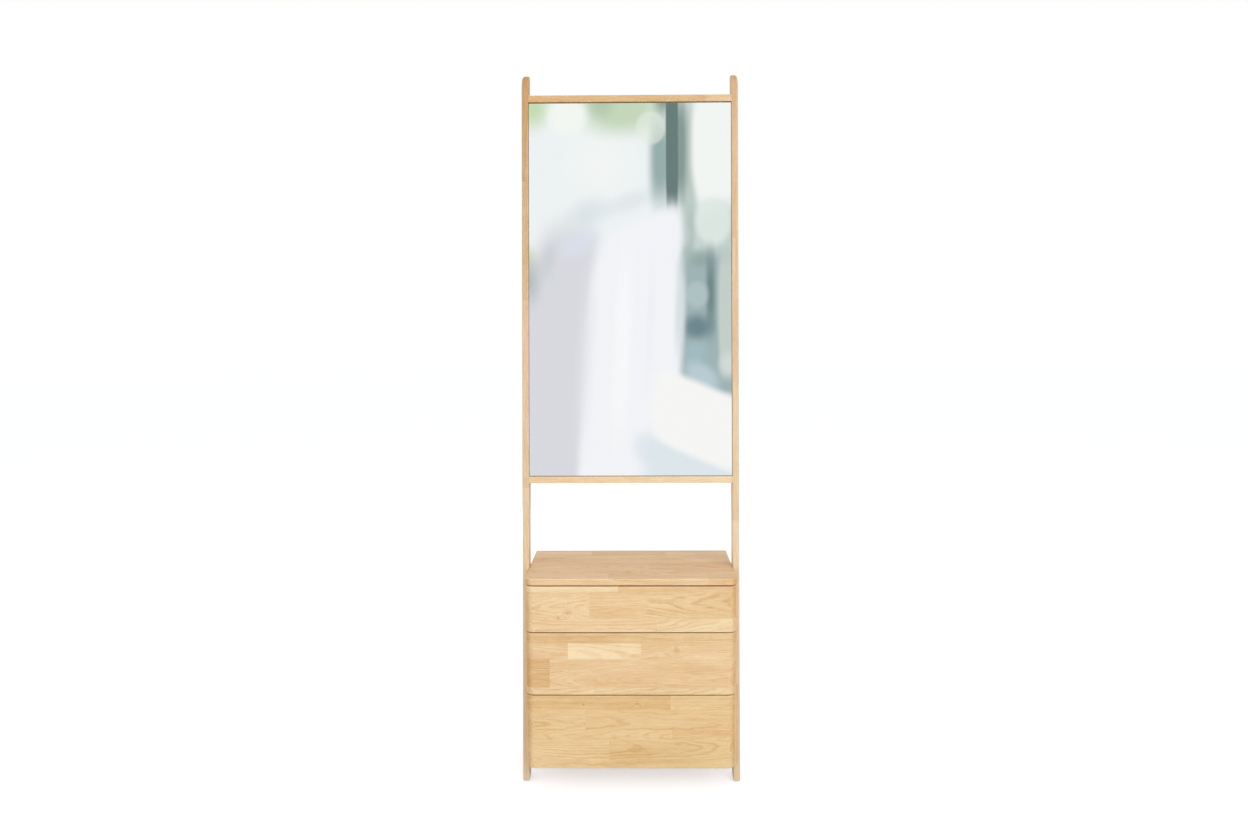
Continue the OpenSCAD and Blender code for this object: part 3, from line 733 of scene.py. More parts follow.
def finish_piece(name, shape, finish, body, nodes, place=None, flip=False):
    """Makes a finished piece of a solid: it replaces its CAD nodes and rides on its body.
    flip puts it on the other side of the middle first."""
    if flip:
        shape.transform(Matrix.Diagonal((-1, 1, 1, 1)))
        bmesh.ops.reverse_faces(shape, faces=shape.faces)
    if place is not None:
        shape.transform(place)
    made = loose_object(shape, name)
    made.data.materials.append(material(finish))
    made.data.polygons.foreach_set("use_smooth", [True] * len(made.data.polygons))
    made.data.set_sharp_from_angle(angle=math.radians(35))
    even = made.modifiers.new("even normals", "WEIGHTED_NORMAL")
    even.keep_sharp, even.weight = True, 60
    apply_modifiers(made)
    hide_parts(*nodes)
    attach(made, body)


def soften(node, width, segments, where):
    """A solid like a CAD node, with the edges that where(middle, direction) picks rounded."""
    shape = bmesh.new()
    shape.from_mesh(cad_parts[node].data)
    bmesh.ops.remove_doubles(shape, verts=shape.verts, dist=WELD)
    bmesh.ops.dissolve_limit(shape, angle_limit=math.radians(1), verts=shape.verts, edges=shape.edges)
    return round_edges(shape, width, segments, where)


def dress(finish, *nodes):
    """Gives CAD nodes their finish."""
    for node in nodes:
        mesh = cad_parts[node].data
        mesh.materials.clear()
        mesh.materials.append(material(finish))


# ---- screws and bolts ----

FASTENER_INPUTS = {"Shank diameter": "Float", "Length": "Float", "Head diameter": "Float",
                   "Head height": "Float", "Chamfer": "Float", "Countersunk": "Bool", "Hex socket": "Bool",
                   "Recess width": "Float", "Recess depth": "Float", "Segments": "Int",
                   "Finish": "Material"}
CROSS_ARM = 0.26  # half width of an arm of a cross recess, as a share of its reach
CROSS_WIDTH, HEX_WIDTH, RECESS_DEPTH = 1.05, 0.7, 0.62  # as shares of the head's radius and height
FLAT_HEAD, FLAT_HEIGHT = 1.8, 1.1  # of the screws in the drawer sides, in shank radii
TIP = 0.6  # width of a shank's tip, as a share of the shank's
PROUD = 0.15 * MM  # how far these stand out of the wood


def fastener_tree():
    """Geometry nodes that put a screw or bolt on every point, its head towards the point's way."""
    if "fasteners" in bpy.data.node_groups:
        return bpy.data.node_groups["fasteners"]
    tree = bpy.data.node_groups.new("fasteners", "GeometryNodeTree")
    face = tree.interface
    face.new_socket("Points", in_out="INPUT", socket_type="NodeSocketGeometry")
    for label, kind in FASTENER_INPUTS.items():
        face.new_socket(label, in_out="INPUT", socket_type=f"NodeSocket{kind}")
    face.new_socket("Fasteners", in_out="OUTPUT", socket_type="NodeSocketGeometry")
    shop = Shop(tree)
    given = tree.nodes.new("NodeGroupInput").outputs
    shank, head, reach = (shop.times(given[name], 0.5)
                          for name in ("Shank diameter", "Head diameter", "Recess width"))
    chamfer, high, long = given["Chamfer"], given["Head height"], given["Length"]
    # rings from the middle of the recess over the head and down the shank to the middle of its tip
    columns = shop.plus(given["Segments"], 1.0)
    index = shop.plus(tree.nodes.new("GeometryNodeInputIndex").outputs[0], 0.5)
    ring = shop.floor(shop.over(index, columns))
    column = shop.floor(shop.remainder(index, columns))
    turn = shop.over(shop.times(column, math.tau), given["Segments"])
    cos, sin = shop.cosine(turn), shop.sine(turn)
    sides = [shop.most(shop.size(v), 0.001) for v in (cos, sin)]
    thin = shop.times(reach, CROSS_ARM)
    arms = [shop.least(shop.over(reach, a), shop.over(thin, b)) for a, b in (sides, sides[::-1])]
    sixth = shop.minus(shop.remainder(turn, math.tau / 6), math.tau / 12)
    hexagon = shop.over(shop.times(reach, math.cos(math.tau / 12)), shop.cosine(sixth))
    recess = shop.node("GeometryNodeSwitch", given["Hex socket"], shop.most(*arms), hexagon,
                       input_type="FLOAT").outputs[0]
    under = shop.node("GeometryNodeSwitch", given["Countersunk"], head, shank, input_type="FLOAT").outputs[0]
    deep = given["Recess depth"]
    profile = [(0.0, deep), (recess, deep), (recess, 0.0), (shop.minus(head, chamfer), 0.0),
               (head, chamfer), (under, high), (shank, high), (shank, shop.minus(long, shank)),
               (shop.times(shank, TIP), long), (0.0, long)]

    def of_ring(values):
        """The value that belongs to a point's ring."""
        pick = tree.nodes.new("GeometryNodeIndexSwitch")
        pick.data_type = "FLOAT"
        while len(pick.index_switch_items) < len(values):
            pick.index_switch_items.new()
        for value, socket in zip((ring, *values), pick.inputs):
            shop.join(value, socket)
        return pick.outputs[0]
    radius, down = (of_ring(values) for values in zip(*profile))
    grid = shop.node("GeometryNodeMeshGrid", 1.0, 1.0, len(profile), columns).outputs[0]
    place = shop.xyz(shop.times(radius, cos), shop.times(radius, sin), shop.times(down, -1.0))
    turned = shop.node("GeometryNodeSetPosition", at={"Geometry": grid, "Position": place}).outputs[0]
    made = shop.node("GeometryNodeMergeByDistance", at={"Geometry": turned, "Distance": 1e-6}).outputs[0]
    way = shop.node("GeometryNodeInputNamedAttribute", "way", data_type="FLOAT_VECTOR").outputs[0]
    upright = shop.node("FunctionNodeAlignRotationToVector", at={"Vector": way}, axis="Z").outputs[0]
    placed = shop.node("GeometryNodeInstanceOnPoints", at={
        "Points": given["Points"], "Instance": made, "Rotation": upright}).outputs[0]
    real = shop.node("GeometryNodeRealizeInstances", placed).outputs[0]
    finished = shop.node("GeometryNodeSetMaterial", at={
        "Geometry": real, "Material": given["Finish"]}).outputs[0]
    shop.join(finished, tree.nodes.new("NodeGroupOutput").inputs[0])
    return tree


def measure_fastener(points):
    """Sizes of a screw or bolt along X or Y: shank, length, head, head height, countersunk, and
    its place, the middle of the top of its head, with the way out of it."""
    low, high = points.min(0), points.max(0)
    axis, middle = int(np.argmax(high - low)), (low + high) / 2
    from_axis = points - middle
    from_axis[:, axis] = 0
    radius = np.linalg.norm(from_axis, axis=1)
    ends = [radius[abs(points[:, axis] - end[axis]) < WELD].max() for end in (low, high)]
    shank, head = sorted(ends)
    headed = head > shank + HAIR
    out = math.copysign(1, ends[1] - ends[0] if headed else middle[axis])
    place, way = middle.copy(), np.zeros(3)
    place[axis], way[axis] = (high if out > 0 else low)[axis], out
    down = abs(points[:, axis] - place[axis])
    tall = down[radius < head - WELD].min() if headed else 0.0
    countersunk = headed and not np.any((radius > head - WELD) & (down > tall / 2))
    sizes = (*(round(float(v), 5) for v in (shank, high[axis] - low[axis], head, tall)), bool(countersunk))
    return sizes, tuple(place), tuple(way), axis


def make_fasteners(node, body, finish, hex_socket=False):
    """Replaces the screws or bolts of a CAD node by detailed ones of the same sizes."""
    kinds = {}
    for points in solids(node):
        sizes, place, way, axis = measure_fastener(points)
        shank, long, head, tall, countersunk = sizes
        if not tall and axis == X:
            # screws that end flush with a drawer side get a flat head that lies on its face
            head, tall, countersunk = FLAT_HEAD * shank, FLAT_HEIGHT * shank, True
            place, long = tuple(Vector(place) + Vector(way) * PROUD), long + PROUD
        elif not tall:
            head, tall = shank, shank
        kinds.setdefault((shank, long, head, tall, countersunk), []).append((place, way))
    shape, tree = bmesh.new(), fastener_tree()
    for (shank, long, head, tall, countersunk), spots in kinds.items():
        points = bpy.data.meshes.new("points")
        points.from_pydata([place for place, _ in spots], [], [])
        ways = points.attributes.new("way", "FLOAT_VECTOR", "POINT")
        ways.data.foreach_set("vector", [c for _, way in spots for c in way])
        made = bpy.data.objects.new("points", points)
        bpy.context.scene.collection.objects.link(made)
        nodes = made.modifiers.new("fasteners", "NODES")
        nodes.node_group = tree
        values = {"Shank diameter": 2 * shank, "Length": long, "Head diameter": 2 * head, "Head height": tall,
                  "Chamfer": min(0.3 * MM, 0.2 * tall), "Countersunk": countersunk, "Hex socket": hex_socket,
                  "Recess width": (HEX_WIDTH if hex_socket else CROSS_WIDTH) * head,
                  "Recess depth": RECESS_DEPTH * tall, "Segments": 24, "Finish": material(finish)}
        for item in tree.interface.items_tree:
            if item.in_out == "INPUT" and item.name in values:
                nodes[item.identifier] = values[item.name]
        apply_modifiers(made)
        shape.from_mesh(made.data)
        points = made.data
        bpy.data.objects.remove(made)
        bpy.data.meshes.remove(points)
    finish_piece(f"{finish}_{node}", shape, finish, body, [node])


# ---- pieces ----

# (end of the stave, tone) up each upright
UPRIGHT_STAVES = {
    "left": [(0.58, 0.16), (0.81, 0.34), (1.11, 0.39), (1.33, 0.38), (1.66, 0.63), (END, 0.96)],
    "right": [(0.27, 0.24), (0.72, 0.05), (1.10, 0.38), (1.50, 0.38), (END, 0.49)]}


class MIRRORPART_OT_uprights(bpy.types.Operator):
    """Make the two uprights, with rounded tops, softened edges and the rebate for the glass"""
    bl_idname = "mirror_part.uprights"
    bl_label = "Uprights"

    def execute(self, context):
        oak = context.scene.mirror_part.oak
        low, high = leaned_box("left_upright")
        bead_low, bead_high = leaned_box("side_beads")
        glass_front = leaned_box("mirror_glass")[0].y
        depth, tall, r = high.y, high.z, oak.top_round
        foot = [(FOOT_LOW.z + d * SIN) / COS for d in (0, depth)]
        outline = [(0, foot[0]), (depth, foot[1]), (depth, tall)]
        outline += arc(r, tall - r, r, 90, 180, 16)
        for side in SIDES:
            shape = prism(outline, low.x, high.x, along_x)

            def share(middle, way):
                """The edges' rounding grows round the top front corner, up to the ear's top."""
                if middle.x > low.x + NEAR:
                    return oak.inner_arris / oak.ear_arris
                least = oak.frame_arris / oak.ear_arris
                if middle.y > r and middle.z < tall - NEAR:
                    return least
                return least + (1 - least) * min(1, max(0, (middle.z - tall + r) / r))
            shape = round_unevenly(shape, oak.ear_arris, 6, share)
            rebate = block((bead_low.x, glass_front, bead_low.z), (0, depth + 10 * MM, bead_high.z))
            shape = carve(shape, rebate)
            lay_staves(shape, [(END, UPRIGHT_STAVES[side])], along=Z, across=Y)
            node = f"{side}_upright"
            finish_piece(f"oak_{node}", shape, "oak_frame", "frame", [node], LEANED,
                         flip=side == "right")
        return {"FINISHED"}


RAIL_STAVES = {"top_rail": [(-0.13, 0.72), (0.21, 0.67), (END, 0.50)],
               "lower_rail": [(-0.02, 0.33), (END, 0.23)]}


class MIRRORPART_OT_rails(bpy.types.Operator):
    """Make the top and the lower rail, rebated for the glass"""
    bl_idname = "mirror_part.rails"
    bl_label = "Rails"

    def execute(self, context):
        arris = context.scene.mirror_part.oak.rail_arris
        rebate_low, rebate_high = (c.z for c in leaned_box("side_beads"))
        glass_front = leaned_box("mirror_glass")[0].y
        for node, step in (("top_rail", rebate_high), ("lower_rail", rebate_low)):
            low, high = leaned_box(node)
            near, far = (low.z, high.z) if node == "top_rail" else (high.z, low.z)
            outline = [(0, near), (glass_front, near), (glass_front, step), (high.y, step),
                       (high.y, far), (0, far)]
            shape = prism(outline, low.x, high.x, along_x)
            round_edges(shape, arris, 3, lambda middle, way: abs(way.x) > 0.9)
            lay_staves(shape, [(END, RAIL_STAVES[node])], along=X, across=Z)
            finish_piece(f"oak_{node}", shape, "oak_rails", "frame", [node], LEANED)
        return {"FINISHED"}


class MIRRORPART_OT_mirror(bpy.types.Operator):
    """Finish the mirror glass and its back panel, and make the beads that hold them"""
    bl_idname = "mirror_part.mirror"
    bl_label = "Mirror and beads"

    def execute(self, context):
        dress("mirror", "mirror_glass")
        dress("hardboard", "mirror_backing")
        dress("zinc", "bead_pins")
        arris = context.scene.mirror_part.oak.bead_arris
        low, high = leaned_box("side_beads")
        end_low, end_high = leaned_box("end_beads")
        width = -end_low.x + low.x
        for side, seed in zip(SIDES, (3.0, 4.0)):
            shape = block((low.x, low.y, low.z), (end_low.x, high.y, high.z))
            round_edges(shape, arris, 3, lambda middle, way: abs(way.z) > 0.9 and middle.x > low.x + NEAR
                        and middle.y > low.y + NEAR)
            one_stave(shape, 0.5, seed)
            finish_piece(f"{side}_bead", shape, "oak_frame", "frame", ["side_beads"], LEANED,
                         flip=side == "right")
        for name, base, inner in (("lower", low.z, 1), ("upper", high.z, -1)):
            z0, z1 = sorted((base, base - inner * width))
            shape = block((end_low.x, low.y, z0), (end_high.x, high.y, z1))
            round_edges(shape, arris, 3, lambda middle, way: abs(way.x) > 0.9 and middle.y > low.y + NEAR
                        and abs(middle.z - base) > NEAR)
            one_stave(shape, 0.45, 5.0 + inner, base)
            finish_piece(f"{name}_bead", shape, "oak_rails", "frame", ["end_beads"], LEANED)
        return {"FINISHED"}


def rounded_plan(low, high, radius):
    """Plan of a board whose two front corners are rounded, also where it is thinner than that."""
    turn = math.degrees(math.asin(max(0.0, 1 - (high.y - low.y) / radius)))
    back = [] if turn else [(high.x, high.y), (low.x, high.y)]
    return (back + arc(low.x + radius, low.y + radius, radius, 180 + turn, 270, 16)
            + arc(high.x - radius, low.y + radius, radius, 270, 360 - turn, 16))


# (upper edge of the row, [(end of the stave, tone), ...]), from the lowest or frontmost row on
SHELF_STAVES = [(-0.102, [(-0.06, 0.42), (0.205, 0.46), (END, 0.58)]),
                (-0.060, [(0.12, 0.50), (END, 0.42)]),
                (0.018, [(0.050, 0.40), (END, 0.55)]),
                (0.092, [(-0.13, 0.52), (0.17, 0.44), (END, 0.5)]),
                (END, [(-0.114, 0.36), (0.10, 0.48), (END, 0.40)])]
FRONT_STAVES = {
    "bottom": [(0.145, [(-0.060, 0.36), (END, 0.46)]), (0.172, [(0.11, 0.41), (END, 0.46)]),
               (0.228, [(-0.122, 0.40), (END, 0.39)]), (END, [(0.105, 0.58), (END, 0.38)])],
    "middle": [(0.290, [(-0.10, 0.30), (END, 0.34)]), (0.368, [(-0.217, 0.66), (END, 0.38)]),
               (0.412, [(-0.168, 0.42), (0.027, 0.11), (END, 0.34)]),
               (END, [(-0.06, 0.60), (END, 0.54)])],
    "top": [(0.479, [(0.069, 0.32), (END, 0.25)]),
            (0.551, [(-0.110, 0.40), (0.040, 0.42), (END, 0.48)]),
            (END, [(-0.034, 0.18), (END, 0.53)])]}
BOTTOM_STAVES = [(-0.04, [(0.08, 0.5), (END, 0.4)]), (0.05, [(-0.12, 0.4), (END, 0.5)]),
                 (END, [(0.02, 0.45), (END, 0.55)])]
SIDE_STAVES = [(END, [(-0.062, 0.40), (0.046, 0.52), (END, 0.36)])]


class MIRRORPART_OT_shelf(bpy.types.Operator):
    """Make the shelf, the top board of the chest, glued up of staves"""
    bl_idname = "mirror_part.shelf"
    bl_label = "Shelf"

    def execute(self, context):
        oak = context.scene.mirror_part.oak
        low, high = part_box("shelf")
        shape = prism(rounded_plan(low, high, oak.corner), low.z, high.z, along_z)
        round_edges(shape, oak.shelf_arris, 4)
        lay_staves(shape, SHELF_STAVES, along=X, across=Y)
        finish_piece("oak_shelf", shape, "oak_shelf", "frame", ["shelf"])
        return {"FINISHED"}


class MIRRORPART_OT_drawer_fronts(bpy.types.Operator):
    """Make the three drawer fronts, with rounded ends and softened edges"""
    bl_idname = "mirror_part.drawer_fronts"
    bl_label = "Drawer fronts"

    def execute(self, context):
        oak = context.scene.mirror_part.oak
        for row in ROWS:
            node = f"{row}_drawer_front"
            low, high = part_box(node)
            shape = prism(rounded_plan(low, high, oak.corner), low.z, high.z, along_z)
            round_edges(shape, oak.front_arris, 4)
            bottom_low, bottom_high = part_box(f"{row}_drawer_bottom")
            shape = carve(shape, block(bottom_low - Vector((SLACK, SLACK, SLACK)),
                                       bottom_high + Vector((SLACK, 0, SLACK))))
            lay_staves(shape, FRONT_STAVES[row], along=X, across=Z)
            finish_piece(f"oak_{node}", shape, f"oak_front_{row}", f"{row}_drawer", [node])
        return {"FINISHED"}


class MIRRORPART_OT_chest(bpy.types.Operator):
    """Make the sides, bottom and rear legs of the chest and finish its back"""
    bl_idname = "mirror_part.chest"
    bl_label = "Chest"

    def execute(self, context):
        arris = context.scene.mirror_part.oak.box_arris
        low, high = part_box("chest_left_side")
        back_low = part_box("chest_back")[0]
        step = back_low.x - SLACK
        outline = [(low.x, low.y), (high.x, low.y), (high.x, back_low.y), (step, back_low.y),
                   (step, high.y), (low.x, high.y)]
        leg_low, leg_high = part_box("left_rear_leg")
        for side, seed in zip(SIDES, (7.0, 8.0)):
            shape = prism(outline, low.z, high.z, along_z)
            round_edges(shape, arris, 2, lambda middle, way: middle.y < low.y + NEAR
                        or middle.z < low.z + NEAR)
            lay_staves(shape, SIDE_STAVES, along=Y, across=Z)
            finish_piece(f"oak_chest_{side}_side", shape, "oak_upright_grain", "frame",
                         [f"chest_{side}_side"], flip=side == "right")
            leg = round_edges(block(leg_low, leg_high), 2 * arris, 3,
                              lambda middle, way: middle.z < leg_high.z - NEAR)
            one_stave(leg, 0.42, seed)
            finish_piece(f"oak_{side}_rear_leg", leg, "oak_upright_grain", "frame",
                         [f"{side}_rear_leg"], flip=side == "right")
        low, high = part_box("chest_bottom")
        shape = round_edges(block(low, high), arris, 2,
                            lambda middle, way: abs(way.x) > 0.9 and middle.y < low.y + NEAR)
        lay_staves(shape, BOTTOM_STAVES, along=X, across=Y)
        finish_piece("oak_chest_bottom", shape, "oak_chest_bottom", "frame", ["chest_bottom"])
        dress("ply_backs", "chest_back")
        dress("beech", "chest_dowels", "rail_dowels")
        return {"FINISHED"}


class MIRRORPART_OT_drawer_boxes(bpy.types.Operator):
    """Make the plywood sides and backs of the drawers, grooved for their bottoms"""
    bl_idname = "mirror_part.drawer_boxes"
    bl_label = "Drawer boxes"

    def execute(self, context):
        arris = context.scene.mirror_part.oak.box_arris
        for row in ROWS:
            body = f"{row}_drawer"
            low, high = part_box(f"{body}_left_side")
            floor_low, floor_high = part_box(f"{body}_bottom")
            near, far = floor_low.z - SLACK, floor_high.z + SLACK
            cut = floor_low.x - SLACK
            outline = [(low.x, low.z), (high.x, low.z), (high.x, near), (cut, near), (cut, far),
                       (high.x, far), (high.x, high.z), (low.x, high.z)]
            for side in SIDES:
                shape = prism(outline, low.y, high.y, along_y)
                round_edges(shape, arris, 3, lambda middle, way: middle.z > high.z - NEAR
                            or middle.z < low.z + NEAR)
                node = f"{body}_{side}_side"
                finish_piece(f"ply_{node}", shape, "ply_sides", body, [node],
                             flip=side == "right")
            back_low, back_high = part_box(f"{body}_back")
            shape = round_edges(block(back_low, back_high), arris, 3,
                                lambda middle, way: abs(way.x) > 0.9 and middle.z > back_high.z - NEAR)
            finish_piece(f"ply_{body}_back", shape, "ply_backs", body, [f"{body}_back"])
            dress("ply_bottoms", f"{body}_bottom")
        return {"FINISHED"}


RUNNER_ARRIS = 0.45 * MM
PAD_CORNER, PAD_ARRIS, BUMPER_ARRIS = 5 * MM, 0.6 * MM, 1.8 * MM


class MIRRORPART_OT_runners(bpy.types.Operator):
    """Make the members of the telescopic runners, with rounded edges"""
    bl_idname = "mirror_part.runners"
    bl_label = "Runners"

    def execute(self, context):
        bodies = {"fixed": "frame", "middle": "{}_middle_runners", "drawer": "{}_drawer"}
        for row in ROWS:
            for side in SIDES:
                for part, body in bodies.items():
                    node = f"{row}_{side}_{part}_runner"
                    shape = soften(node, RUNNER_ARRIS, 2, lambda middle, way: abs(way.y) > 0.99)
                    finish_piece(f"steel_{node}", shape, "runner_steel", body.format(row),
                                 [node])
        return {"FINISHED"}


class MIRRORPART_OT_fasteners(bpy.types.Operator):
    """Make the screws and bolts, with cross recesses and hexagon sockets, and finish the inserts"""
    bl_idname = "mirror_part.fasteners"
    bl_label = "Screws and bolts"

    def execute(self, context):
        make_fasteners("chest_bolts", "frame", "zinc", hex_socket=True)
        for node in ("back_panel_screws", "runner_screws"):
            make_fasteners(node, "frame", "zinc")
        for row in ROWS:
            make_fasteners(f"{row}_drawer_screws", f"{row}_drawer", "zinc")
        dress("brass", "threaded_inserts")
        return {"FINISHED"}


class MIRRORPART_OT_pads(bpy.types.Operator):
    """Make the felt pads under the feet and the rubber bumpers against the wall"""
    bl_idname = "mirror_part.pads"
    bl_label = "Pads and bumpers"

    def execute(self, context):
        def gather(shape, part):
            """Adds a solid to another, and frees it."""
            part.to_mesh(scrap)
            part.free()
            shape.from_mesh(scrap)
        pads, bumpers, scrap = bmesh.new(), bmesh.new(), bpy.data.meshes.new("scrap")
        r = PAD_CORNER
        for low, high in boxes("foot_pads"):
            plan = []
            for x, y, turn in ((high.x - r, high.y - r, 0), (low.x + r, high.y - r, 90),
                               (low.x + r, low.y + r, 180), (high.x - r, low.y + r, 270)):
                plan += arc(x, y, r, turn, turn + 90, 8)
            gather(pads, round_edges(prism(plan, low.z, high.z, along_z), PAD_ARRIS, 2))
        finish_piece("felt_pads", pads, "felt", "frame", ["foot_pads"])
        back_face = LEANED @ Vector((0, leaned_box("left_upright")[1].y, 0))
        for low, high in boxes("wall_bumpers"):
            middle_x, r = (low.x + high.x) / 2, (high.x - low.x) / 2
            ring = arc(middle_x, high.z - r, r, 0, 360, 48)[:-1]
            rod = prism(ring, high.y - 2 * r, high.y, along_y)
            round_edges(rod, BUMPER_ARRIS, 4, lambda middle, way: middle.y > high.y - NEAR)
            cut = bmesh.ops.bisect_plane(rod, geom=[*rod.verts, *rod.edges, *rod.faces], plane_co=back_face,
                                         plane_no=Vector(INTO_FRAME), clear_inner=True, dist=ON_CUT)
            rim = [e for e in cut["geom_cut"] if isinstance(e, bmesh.types.BMEdge)]
            bmesh.ops.edgeloop_fill(rod, edges=rim)
            bmesh.ops.recalc_face_normals(rod, faces=rod.faces)
            gather(bumpers, rod)
        finish_piece("rubber_bumpers", bumpers, "rubber", "frame", ["wall_bumpers"])
        bpy.data.meshes.remove(scrap)
        return {"FINISHED"}


# ---- stage ----

def sees_background(shop):
    """1 where the camera, a reflection or glass looks at the background."""
    rays = shop.node("ShaderNodeLightPath").outputs
    return shop.most(rays["Is Camera Ray"], shop.most(rays["Is Glossy Ray"], rays["Is Transmission Ray"]))


def stage_light(name, place, aim, size, power):
    """A large soft lamp that points at aim."""
    lamp = bpy.data.lights.new(name, "AREA")
    lamp.shape, lamp.size, lamp.size_y = "RECTANGLE", size[0], size[1]
    lamp.energy = power
    made = bpy.data.objects.new(name, lamp)
    made.location = place
    made.rotation_euler = (Vector(aim) - Vector(place)).to_track_quat("-Z", "Y").to_euler()
    made.visible_glossy = False
    bpy.context.scene.collection.objects.link(made)


def soft_shape():
    """Group: lays one blurred shape of one colour over the colour under it."""
    def build(shop, given):
        away = shop.vector("SUBTRACT", given["Vector"], given["Place"])
        turned = shop.node("ShaderNodeVectorRotate", away, (0, 0, 0), None, given["Turn"],
                           rotation_type="Z_AXIS").outputs[0]
        parts = shop.split(shop.vector("DIVIDE", turned, given["Size"]))
        powers = [shop.power(shop.size(parts[i]), given["Squareness"]) for i in (0, 1)]
        reach = shop.power(shop.plus(*powers), shop.over(1.0, given["Squareness"]))
        share = shop.times(shop.ramp(reach, 1.0, given["Core"]), given["Strength"])
        return {"Color": shop.mix(share, given["Under"], given["Color"])}
    return shared("soft_shape", {
        "Vector": (0, 0, 0), "Place": (0, 0, 0), "Size": (1, 1, 1), "Turn": 0.0, "Squareness": 2.0,
        "Core": 0.0, "Strength": 1.0, "Color": (1, 1, 1), "Under": (1, 1, 1)}, ("Color",), build)


CARD_AWAY = 4.0  # distance of the card from the glass
CARD_MARGINS = (5, 1.6, 4)  # how far it goes on beside, below and above what the camera sees of it
CARD_GLOW = 1.07  # strength of its light


def mirror_card():
    """A card of soft pale shapes in front of the object, which only the mirror shows."""
    low, high = leaned_box("mirror_glass")
    camera = LEANED.inverted() @ Vector(settings().studio.camera_place)
    glass, behind = low.y, low.y - CARD_AWAY
    image = Vector((camera.x, 2 * glass - camera.y, camera.z))
    grow = (image.y - behind) / (image.y - glass)

    def onto_card(x, s):
        return Vector((image.x + (x - image.x) * grow, behind, image.z + (s - image.z) * grow))
    first, last = onto_card(low.x, low.z), onto_card(high.x, high.z)
    card = bmesh.new()
    beside, under, over = CARD_MARGINS
    left, right, bottom, top = first.x - beside, last.x + beside, first.z - under, last.z + over
    card.faces.new([card.verts.new(LEANED @ Vector((x, behind, s)))
                    for x, s in ((left, bottom), (right, bottom), (right, top), (left, top))])
    made = loose_object(card, "mirror_card")
    finish = bpy.data.materials.new("mirror_card")
    finish.use_nodes = True
    finish.node_tree.nodes.clear()
    shop = Shop(finish.node_tree)
    p = board_axes(shop, X_WAY, UP_FRAME, INTO_FRAME, LEANED @ first)
    # 0 to 1 across the mirror and 0 to 1 down it
    p = shop.vector("ADD", shop.scaled(p, (1 / (last.x - first.x), -1 / (last.z - first.z), 0)), (0, 1, 0))
    view = (1, 1, 1)
    for place, size, turn, square, core, strength, shade in CARD_SHAPES:
        view = use(shop, soft_shape(), Vector=p, Place=(*place, 0), Size=(*size, 1), Strength=strength,
                   Turn=math.radians(turn), Squareness=square, Core=core, Color=srgb(*shade), Under=view)[0]
    light = shop.node("ShaderNodeEmission", view, CARD_GLOW)
    shop.join(light.outputs[0], shop.node("ShaderNodeOutputMaterial").inputs[0])
    made.data.materials.append(finish)
    made.visible_camera = made.visible_diffuse = made.visible_shadow = made.visible_transmission = False


